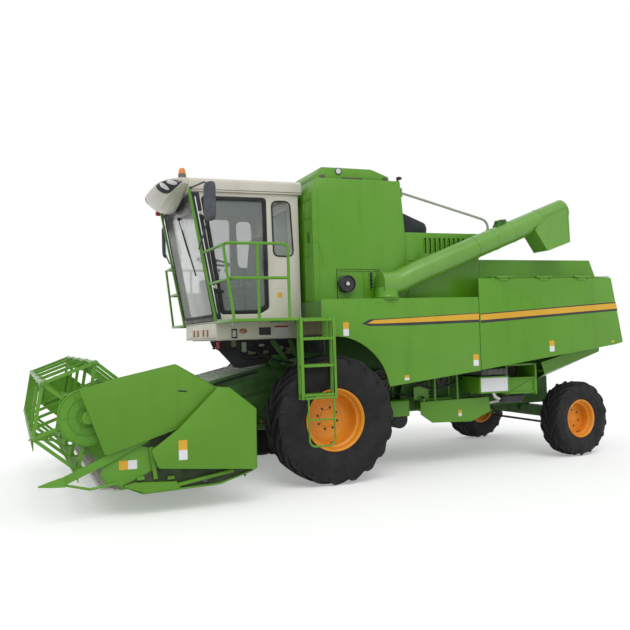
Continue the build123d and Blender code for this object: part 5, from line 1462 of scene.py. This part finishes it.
def makeHeaderEnd(hand, side):
    sheetY, shieldY, coverY = (side * headerSettings[key] for key in ("sheetY", "shieldY", "coverY"))
    # folded rims of shield and cover
    bm = bmesh.new()
    line = shieldLines[hand]
    addPipe(bm, [at(x, shieldY - side * 0.006, z) for x, z in line + line[:2]], 0.0065, 0.02)
    asPiece(bm, f"shield_rim_{hand}", "arms", "shieldPaint")
    if side > 0:
        bm = bmesh.new()
        addPlate(bm, [(1.786, 1.166), (1.868, 1.176), (1.866, 1.19), (1.784, 1.18)], shieldY + 0.0002, 0.001)
        asPiece(bm, "shield_slot", "arms", "sealRubber")
    bm = bmesh.new()
    cover = [(1.11, 0.372), (1.1, 0.965), (1.37, 1.188), (1.48, 1.194), (1.87, 0.822), (2.14, 0.632), (2.08, 0.462)]
    addPipe(bm, [at(x, coverY - side * 0.006, z) for x, z in cover + cover[:2]], 0.0065, 0.02)
    asPiece(bm, f"cover_rim_{hand}", "header", "shieldPaint")
    # painted shade: a near-black sheet over the end sheet's lower part stands for the shade under the cover; then its
    # tube, post and skid
    bm = bmesh.new()
    addPlate(bm, [(1.12, 0.35), (1.475, 0.24), (2.228, 0.22), (2.42, 0.3), (2.06, 0.455), (1.13, 0.365)],
             sheetY + side * 0.0003, side * 0.003, 0.01, 2)
    asPiece(bm, f"lower_side_shade_{hand}", "header", "recessShadePaint")
    # painted shadow: a dark wedge on the end sheet, in the gap below the shield
    bm = bmesh.new()
    addPlate(bm, [(2.3, 0.69), (1.925, 0.835), (1.965, 0.7), (2.13, 0.64)], sheetY + side * 0.0003, side * 0.002,
             0.006, 2)
    asPiece(bm, f"side_gap_shadow_{hand}", "header", "recessShadePaint")
    bm = bmesh.new()
    y = sheetY + side * 0.04
    addPipe(bm, [at(1.885, y, 0.272), at(1.335, y, 0.362), at(1.335, sheetY, 0.362)], 0.02, 0.03)
    addPipe(bm, [at(2.235, y, 0.222), at(1.475, y, 0.243), at(1.115, y - side * 0.02, 0.345)], 0.01, 0.05)
    addPlate(bm, [(2.158, 0.655), (2.118, 0.66), (2.08, 0.35), (2.118, 0.345)], sheetY + side * 0.0302, side * 0.022,
             0.005, 2, 0.003)
    addPlate(bm, [(2.2, 0.222), (2.42, 0.305), (2.3, 0.33), (1.9, 0.31), (1.86, 0.24)], sheetY + side * 0.004,
             side * 0.05, 0.01, 2, 0.004)
    for x, z in ((1.95, 0.345), (2.24, 0.365)):
        addBlock(bm, (x - 0.035, sheetY, z - 0.018), (x + 0.035, sheetY + side * 0.035, z + 0.018), 0.004)
    asPiece(bm, f"skid_bars_{hand}", "header", "shieldPaint")
    bm = bmesh.new()
    for x, z in ((1.2, 0.3), (1.56, 0.262), (2.02, 0.25), (2.3, 0.292), (2.08, 0.4)):
        addBolt(bm, at(x, sheetY + side * 0.003, z), (0, side, 0), 0.011, 0.01)
    addRod(bm, at(1.62, sheetY, 0.3), at(1.62, sheetY + side * 0.05, 0.3), 0.03, 18, 0.003)
    asPiece(bm, f"skid_bolts_{hand}", "header", "darkSteel")
    # folds of the end sheet ahead of the cover
    bm = bmesh.new()
    addPipe(bm, [at(2.56, sheetY + side * 0.002, 0.54), at(2.15, sheetY + side * 0.002, 0.708)], 0.006, 0.02)
    addPipe(bm, [at(2.606, sheetY + side * 0.001, 0.43), at(2.566, sheetY + side * 0.001, 0.345),
                 at(2.48, sheetY + side * 0.001, 0.326), at(2.24, sheetY + side * 0.001, 0.222)], 0.006, 0.02)
    asPiece(bm, f"sheet_folds_{hand}", "header", "greenPaint")


def reelSpot(radius, angle, y):
    x, z = headerSettings["reel"]
    return at(x + radius * math.cos(angle), y, z + radius * math.sin(angle))


def makeReelDetail():
    half, radius = headerSettings["reelHalf"], headerSettings["reelRadius"]
    angles = [math.radians(90 + headerSettings["turn"] + 60 * k) for k in range(6)]
    x, z = headerSettings["reel"]
    # discs with pressed rings and ribs
    bm = bmesh.new()
    for side in (1, -1):
        face = side * (half + 0.012)
        for ring, wide in ((0.262, 0.006), (0.18, 0.003), (0.105, 0.006), (0.086, 0.005)):
            addLathe(bm, [(0, ring - wide), (0.004, ring - wide * 0.6), (0.006, ring), (0.004, ring + wide * 0.6),
                          (0, ring + wide)], at(x, face, z), (0, side, 0), 56)
        for k in range(6):
            a = angles[k] + 0.35
            addPipe(bm, [reelSpot(0.108, a, face), reelSpot(0.258, a, face)], 0.005, 0.02)
    asPiece(bm, "reel_disc_ribs", "reel", "greenPaint")
    # clamps of the bats
    bm = bmesh.new()
    for y in (-half + 0.03, -half / 2, 0.0, half / 2, half - 0.03):
        for a in angles:
            spot = reelSpot(radius, a, y)
            addBlock(bm, (spot.x - axleX - 0.017, y - 0.012, spot.z - 0.016),
                     (spot.x - axleX + 0.017, y + 0.012, spot.z + 0.018), 0.004)
            addBolt(bm, spot + Vector((0, 0, 0.018)), (0, 0, 1), 0.008, 0.006)
    asPiece(bm, "bat_clamps", "reel", "feederPaint")
    # sheet boards of the bats, between the clamps
    spans = [(-half + 0.05, -half / 2 - 0.02), (-half / 2 + 0.02, -0.02), (0.02, half / 2 - 0.02),
             (half / 2 + 0.02, half - 0.05)]
    bm = bmesh.new()
    for a in angles:
        along = Vector((-math.sin(a), 0, math.cos(a)))
        spot = reelSpot(radius - 0.03, a, 0)
        thick = Vector((0.003 * math.cos(a), 0, 0.003 * math.sin(a)))
        for low, high in spans:
            board = flatBox(-0.048, low, 0.048, high)
            addSheet(bm, [spot + along * w + sideways(y) for w, y in board], thick, 0)
    asPiece(bm, "bat_boards", "reel", "shieldPaint")
    bm = bmesh.new()
    for a in angles:
        spot = reelSpot(radius, a, 0)
        for y in spots(-1.725, 0.15, 24):
            addRod(bm, Vector((spot.x, y - 0.018, spot.z - 0.012)), Vector((spot.x, y + 0.018, spot.z - 0.012)),
                   0.009, 8)
    asPiece(bm, "tine_springs", "reel", "darkSteel")
    bm = bmesh.new()
    for side in (1, -1):
        for k, a in enumerate(angles):
            b = angles[(k + 1) % 6]
            y = side * (half - 0.045)
            addRod(bm, reelSpot(0.3, a, y), reelSpot(0.3, b, y), 0.009, 10)
        for a in angles:
            addRod(bm, reelSpot(0.3, a, side * (half - 0.05)), reelSpot(radius - 0.03, a, side * (half - 0.26)),
                   0.008, 8)
    asPiece(bm, "reel_braces", "reel", "greenPaint")
    # knife sections between the guards
    bm = bmesh.new()
    knifeX, knifeZ = headerSettings["knife"]
    blade = [(0.04, -0.036), (0.125, -0.006), (0.125, 0.006), (0.04, 0.036)]
    for y in spots(-1.824, 0.076, 49):
        addSheet(bm, [at(knifeX + ahead, y + across, knifeZ + 0.017) for ahead, across in blade],
                 Vector((0, 0, 0.003)), 0)
    asPiece(bm, "knife_sections", "header", "brightSteel")


def makeFeederDetail():
    # pale ribbed plate over the feeder house
    bm = bmesh.new()
    low, high = (1.225, 1.173), (0.512, 1.334)
    slope = (high[1] - low[1]) / (low[0] - high[0])
    addSheet(bm, [at(low[0], -0.545, low[1]), at(low[0], 0.545, low[1]), at(high[0], 0.545, high[1]),
                  at(high[0], -0.545, high[1])], Vector((0.002, 0, 0.006)), 0.001)
    for x in spots(0.56, 0.09, 8):
        z = high[1] + 0.008 - (x - high[0]) * slope
        addBlock(bm, (x - 0.01, -0.54, z - 0.006), (x + 0.01, 0.54, z + 0.014), 0.004)
    for side in (-1, 1):
        addSidePipe(bm, side, [(high[0], 0.548, high[1] + 0.008), (low[0], 0.548, low[1] + 0.008)], 0.01, 0.02)
    asPiece(bm, "feeder_top", "header", "feederPaint")
    for hand, side in sides:
        # long chain guard and its bolts
        y = side * 0.5605
        bm = bmesh.new()
        addPlate(bm, [(0.33, 1.13), (0.43, 1.24), (1.18, 1.08), (1.2, 0.99), (1.12, 0.93), (0.42, 1.06)], y,
                 side * 0.035, 0.05, 5, 0.006, 2)
        addBlock(bm, (1.205, y, 0.6), (1.238, side * 0.59, 1.13), 0.004)
        asPiece(bm, f"chain_guard_{hand}", "header", "chassisPaint")
        bm = bmesh.new()
        for x, z in ((0.46, 1.18), (0.8, 1.1), (1.1, 1.03), (1.222, 0.7), (1.222, 0.9), (1.222, 1.08)):
            addBolt(bm, at(x, side * 0.595, z), (0, side, 0), 0.012, 0.009)
        asPiece(bm, f"feeder_bolts_{hand}", "header", "darkSteel")
    bm = bmesh.new()
    for k, y in enumerate((0.572, 0.592)):
        addPipe(bm, [at(0.62 + 0.03 * k, y, 1.27), at(0.95, y, 1.2), at(1.2, y, 1.14), at(1.262, y + 0.02, 1.02),
                     at(1.3, y + 0.1, 0.92)], 0.009, 0.08)
    asPiece(bm, "feeder_lines", "header", "sealRubber")


# Under the cab and the body

def addPulley(bm, x, z, y, side, radius, wide=0.04):
    addLathe(bm, [(0, radius), (wide * 0.25, radius * 0.93), (wide * 0.75, radius * 0.93), (wide, radius),
                  (wide, radius * 0.82), (wide * 0.6, radius * 0.76), (wide * 0.6, radius * 0.3),
                  (wide * 1.15, radius * 0.26), (wide * 1.15, 0.0), (0, 0.0)], at(x, side * y, z), (0, side, 0), 40,
             False)
    for k in range(6):
        a = 2 * math.pi * k / 6
        spot = at(x + radius * 0.52 * math.cos(a), side * (y + wide * 0.6), z + radius * 0.52 * math.sin(a))
        addRod(bm, spot, spot + sideways(side * 0.006), radius * 0.13, 12)


def addBelt(bm, first, second, y, side, wide=0.026):
    # a belt round two pulleys, each (x, z, radius)
    (xa, za, ra), (xb, zb, rb) = first, second
    run = Vector((xb - xa, zb - za))
    away = Vector((-run.y, run.x)).normalized()
    points = []
    start = math.atan2(away.y, away.x)
    for k in range(13):
        a = start + math.pi * k / 12
        points.append((xa + ra * math.cos(a), za + ra * math.sin(a)))
    for k in range(13):
        a = start + math.pi + math.pi * k / 12
        points.append((xb + rb * math.cos(a), zb + rb * math.sin(a)))
    outer = [at(x, side * y, z) for x, z in points]
    addBand(bm, outer, 0.01, sideways(side * wide), 0.002)


# small units above the front axle: low corner (x, z), width, height
unitRows = [(0.66, 1.48, 0.1, 0.05), (0.5, 1.44, 0.07, 0.08), (0.9, 1.575, 0.06, 0.09), (0.2, 1.47, 0.1, 0.08)]
# belts: two pulleys (x, z, radius), then how far out they run
beltRows = [((-0.93, 1.06, 0.17), (-1.42, 0.93, 0.105), 0.7), ((-1.42, 0.93, 0.07), (-1.8, 1.06, 0.095), 0.745),
            ((-0.93, 1.06, 0.09), (-0.56, 1.2, 0.07), 0.745), ((-2.35, 1.01, 0.09), (-2.88, 1.12, 0.12), 0.7)]


# pulleys and belts
def makeDrives(hand, side):
    bm = bmesh.new()
    for first, second, y in beltRows:
        for x, z, radius in (first, second):
            addPulley(bm, x, z, y - 0.012, side, radius - 0.004)
            addRod(bm, at(x, side * 0.648, z), at(x, side * (y + 0.02), z), 0.022, 16)
    asPiece(bm, f"pulleys_{hand}", "base", "pulleyPaint")
    bm = bmesh.new()
    for first, second, y in beltRows:
        addBelt(bm, first, second, y - 0.008, side)
    asPiece(bm, f"belts_{hand}", "base", "sealRubber")


# brackets, posts, sheets and lines on the body's side
def makeBodySide(hand, side):
    bm = bmesh.new()
    out = side * 0.65
    addBlock(bm, (-1.225, out, 0.64), (-0.95, side * 0.94, 0.85), 0.025, 3)
    addPlate(bm, [(-1.3, 0.84), (-1.3, 0.995), (-1.42, 1.01), (-1.51, 0.96), (-1.51, 0.84)], side * 0.9, side * 0.008,
             0.015, 3, 0.002)
    addBlock(bm, (-1.48, out, 0.85), (-1.45, side * 0.9, 0.88), 0.003)
    for x, low, high in ((-1.885, 0.815, 1.18), (-1.56, 0.815, 1.13), (-1.4, 0.815, 0.88)):
        addBlock(bm, (x - 0.012, side * 0.955, low), (x + 0.012, side * 0.985, high), 0.003)
        addBlock(bm, (x - 0.012, out, high - 0.03), (x + 0.012, side * 0.985, high), 0.003)
    addBlock(bm, (-1.98, side * 0.652, 0.8), (-0.86, side * 0.69, 0.83), 0.004)
    for x in (-1.14, -1.66, -1.95, -2.3):
        addBlock(bm, (x - 0.015, out, 0.84), (x + 0.015, side * 0.668, 1.16), 0.004)
    asPiece(bm, f"body_brackets_{hand}", "base", "greenPaint")
    bm = bmesh.new()
    addPlate(bm, [(-1.18, 0.7), (-1.4, 0.7), (-1.47, 0.83), (-1.47, 1.11), (-1.23, 1.11), (-1.18, 0.9)], side * 0.76,
             side * 0.008, 0.02, 3, 0.002)
    addPlate(bm, [(-0.64, 0.76), (-0.9, 0.7), (-0.9, 1.11), (-0.64, 1.18)], side * 0.82, side * 0.008, 0.02, 3, 0.002)
    addBlock(bm, (-0.66, side * 0.648, 1.09), (-1.48, side * 0.83, 1.11), 0.003)
    asPiece(bm, f"body_sheets_{hand}", "base", "chassisPaint")
    bm = bmesh.new()
    addLathe(bm, [(-0.135, 0.0), (-0.135, 0.085), (-0.12, 0.11), (0.12, 0.11), (0.135, 0.085), (0.135, 0.0)],
             at(-1.085, side * 0.8, 0.612), (0, 1, 0), 32, False)
    addSidePipe(bm, side, [(-1.3, 0.9, 1.16), (-1.36, 0.93, 1.02), (-1.62, 0.93, 0.95), (-1.86, 0.93, 1.02),
                           (-2.02, 0.9, 1.14)], 0.014, 0.1)
    addSidePipe(bm, side, [(-0.84, 0.78, 1.13), (-0.92, 0.84, 0.96), (-1.3, 0.86, 0.88), (-1.58, 0.84, 0.9)], 0.011,
                0.1)
    asPiece(bm, f"body_lines_{hand}", "base", "sealRubber")


# sheet, hoses and fittings of the front end, outside the feeder's path
def makeFrontEnd(hand, side):
    bm = bmesh.new()
    reach = 0 if side > 0 else -0.46
    addPlate(bm, [(1.214 + reach, 1.654), (0.925 + reach, 1.332), (0.8 + reach, 1.33), (0.3, 1.4), (0.156, 1.42),
                  (0.156, 1.654)], side * 0.655, side * 0.006, 0.015, 3, 0.001)
    addBlock(bm, (0.156, side * 0.606, 1.54), (0.86, side * 0.66, 1.56), 0.004)
    addSidePipe(bm, side, [(0.97 + reach, 0.63, 1.65), (0.9 + reach, 0.68, 1.5), (0.76 + reach * 0.5, 0.72, 1.44),
                           (0.52 + reach * 0.2, 0.72, 1.47), (0.3, 0.7, 1.52)], 0.017, 0.09)
    addSidePipe(bm, side, [(0.88, 0.63, 1.65), (0.84, 0.66, 1.56), (0.66, 0.69, 1.51), (0.5, 0.7, 1.6),
                           (0.44, 0.66, 1.652)], 0.013, 0.07)
    addSidePipe(bm, side, [(0.7, 0.63, 1.65), (0.66, 0.76, 1.48), (0.44, 0.8, 1.4), (0.22, 0.74, 1.36)], 0.011, 0.09)
    addSidePipe(bm, side, [(1.06 + reach, 0.63, 1.65), (0.99 + reach, 0.64, 1.53), (0.93 + reach, 0.62, 1.42)], 0.01)
    asPiece(bm, f"front_fence_{hand}", "base", "sealRubber")
    if side > 0:
        bm = bmesh.new()
        addRod(bm, at(1.115, 0.64, 1.56), at(1.115, 0.64, 1.65), 0.03, 18, 0.006)
        addRod(bm, at(1.115, 0.64, 1.545), at(1.115, 0.64, 1.562), 0.016, 12, 0.003)
        asPiece(bm, "red_filter", "base", "redLens")
    bm = bmesh.new()
    addBlock(bm, (0.78 + reach, side * 0.625, 1.51), (0.835 + reach, side * 0.69, 1.63), 0.008)
    addBlock(bm, (0.56, side * 0.64, 1.57), (0.625, side * 0.69, 1.6), 0.006)
    addRod(bm, at(0.352, side * 0.64, 1.545), at(0.352, side * 0.7, 1.545), 0.026, 18, 0.004)
    addBolt(bm, at(0.352, side * 0.7, 1.545), (0, side, 0), 0.014, 0.01)
    asPiece(bm, f"front_fittings_{hand}", "base", "feederPaint")
    bm = bmesh.new()
    for x, z, wide, tall in unitRows:
        addBlock(bm, (x + reach * 0.3, side * 0.615, z), (x + reach * 0.3 + wide, side * 0.675, z + tall), 0.01)
    asPiece(bm, f"front_units_{hand}", "base", "brownCore")
    bm = bmesh.new()
    addPlate(bm, [(0.52, 1.64), (0.44, 1.64), (0.23, 1.33), (0.29, 1.31)], side * 0.735, side * 0.01, 0.012, 3, 0.002)
    addPlate(bm, [(0.3, 1.64), (0.235, 1.64), (0.17, 1.45), (0.225, 1.44)], side * 0.77, side * 0.01, 0.012, 3, 0.002)
    addPulley(bm, 0.44, 1.395, 0.69, side, 0.075)
    asPiece(bm, f"front_brackets_{hand}", "base", "chassisPaint")


# ribbed cooler core and dark sheet under the landing
def makeLanding(hand, side):
    bm = bmesh.new()
    addBlock(bm, (0.068, side * 1.3, 1.69), (0.3, side * 1.37, 1.856), 0.006)
    for x in spots(0.08, 0.02, 11):
        addBlock(bm, (x, side * 1.368, 1.698), (x + 0.01, side * 1.378, 1.848), 0.002, 1)
    asPiece(bm, f"cooler_core_{hand}", "base", "brownCore")
    bm = bmesh.new()
    addBlock(bm, (0.062, side * 0.66, 1.48), (0.07, side * 1.37, 1.688), 0.002)
    addBlock(bm, (0.07, side * 1.29, 1.68), (0.31, side * 1.376, 1.69), 0.002)
    asPiece(bm, f"landing_sheet_{hand}", "base", "blackPaint")


def makeUnderBody():
    for hand, side in sides:
        makeDrives(hand, side)
        makeBodySide(hand, side)
        makeFrontEnd(hand, side)
        makeLanding(hand, side)


def makeLowerBoxes():
    # white blank plate in its green frame on the first box, framed panel on the second
    bm = bmesh.new()
    addBand(bm, sideOutline([(-2.084, 1.098), (-2.52, 1.092), (-2.52, 0.884), (-2.084, 0.888)], 1.1802, 0.004, 2),
            0.016, Vector((0, 0.012, 0)), 0.002)
    addBand(bm, sideOutline([(-2.535, 1.066), (-2.962, 1.056), (-2.962, 0.852), (-2.535, 0.858)], 1.1202, 0.004, 2),
            0.022, Vector((0, 0.014, 0)), 0.003)
    addPipe(bm, [at(-2.56, 1.122, 0.88), at(-2.935, 1.122, 1.035)], 0.008, 0.02)
    addBlock(bm, (-2.99, 0.655, 0.83), (-2.96, 1.13, 1.23), 0.004)
    addBlock(bm, (-2.545, 1.06, 1.04), (-2.515, 1.125, 1.24), 0.004)
    addBlock(bm, (-2.99, 1.085, 1.21), (-2.5, 1.115, 1.236), 0.004)
    asPiece(bm, "box_frames", "base", "greenPaint")
    bm = bmesh.new()
    addPlate(bm, [(-2.101, 1.08), (-2.503, 1.075), (-2.503, 0.902), (-2.101, 0.906)], 1.1803, 0.004, 0.004, 2, 0.001)
    asPiece(bm, "box_plate", "base", "plateWhite")
    bm = bmesh.new()
    addBlock(bm, (-2.53, 0.7, 1.108), (-2.13, 1.16, 1.19), 0.012, 3)
    for k in range(5):
        addBlock(bm, (-2.5 + k * 0.08, 1.159, 1.12), (-2.46 + k * 0.08, 1.166, 1.18), 0.003, 1)
    asPiece(bm, "upper_box", "base", "trimGrey")
    bm = bmesh.new()
    addLathe(bm, [(-0.165, 0.0), (-0.165, 0.05), (-0.15, 0.066), (0.15, 0.066), (0.165, 0.05), (0.165, 0.0)],
             at(-2.67, 1.0, 0.8), (1, 0, 0), 32, False)
    for x in (-2.78, -2.56):
        addRod(bm, at(x, 1.0, 0.8), at(x + 0.02, 1.0, 0.8), 0.07, 32, 0.002)
        addBlock(bm, (x, 0.985, 0.8), (x + 0.02, 1.015, 0.905), 0.002)
    asPiece(bm, "reservoir", "base", "blackPaint")
    bm = bmesh.new()
    addPipe(bm, [at(-2.505, 1.0, 0.8), at(-2.44, 1.0, 0.81), at(-2.4, 1.0, 0.89)], 0.026, 0.05)
    for z in (0.735, 0.752):
        addPipe(bm, [at(-2.1, 0.9, z + 0.05), at(-2.3, 0.985, z), at(-2.5, 0.99, z + 0.02)], 0.007, 0.05)
    asPiece(bm, "light_lines", "base", "brightSteel")
    # wings of the rear hood under the lids, then the rear lamps
    for hand, side in sides:
        bm = bmesh.new()
        addSheet(bm, [at(-3.302, side * 0.649, 0.968), at(-4.06, side * 0.649, 1.303),
                      at(-4.055, side * 1.085, 1.344), at(-3.152, side * 1.085, 1.081)], Vector((0.002, 0, 0.006)),
                 0.001)
        addPlate(bm, [(-3.1, 1.235), (-3.152, 1.081), (-4.055, 1.344), (-4.064, 1.465)], side * 1.08, side * 0.006,
                 0.006, 2, 0.001)
        for x, z in ((-3.2, 1.1), (-3.9, 1.3)):
            addBlock(bm, (x - 0.02, side * 0.65, z), (x + 0.02, side * 1.082, z + 0.035), 0.004)
        asPiece(bm, f"hood_wing_{hand}", "base", "greenPaint")
        bm = bmesh.new()
        face = -4.0805
        addBlock(bm, (face + 0.002, side * 0.93, 2.15), (face - 0.028, side * 1.04, 2.29), 0.01, 3)
        asPiece(bm, f"rear_lamp_{hand}", "base", "redLens")
        bm = bmesh.new()
        addBlock(bm, (face + 0.002, side * 0.93, 2.08), (face - 0.024, side * 1.04, 2.14), 0.008, 3)
        asPiece(bm, f"rear_turn_lamp_{hand}", "base", "amberLens")


def makeLadderDetail():
    # ribbed treads on the ladder's rungs
    bm = bmesh.new()
    for z in (1.045, 1.365, 1.66):
        for x in spots(0.082, 0.054, 7):
            addBlock(bm, (x, 1.545, z + 0.0005), (x + 0.016, 1.632, z + 0.007), 0.001, 1)
    asPiece(bm, "tread_ribs", "base", "greenPaint")


for hand, side in sides:
    makeHeaderEnd(hand, side)
makeReelDetail()
makeFeederDetail()
makeUnderBody()
makeLowerBoxes()
makeLadderDetail()
print("stage: header and underside")
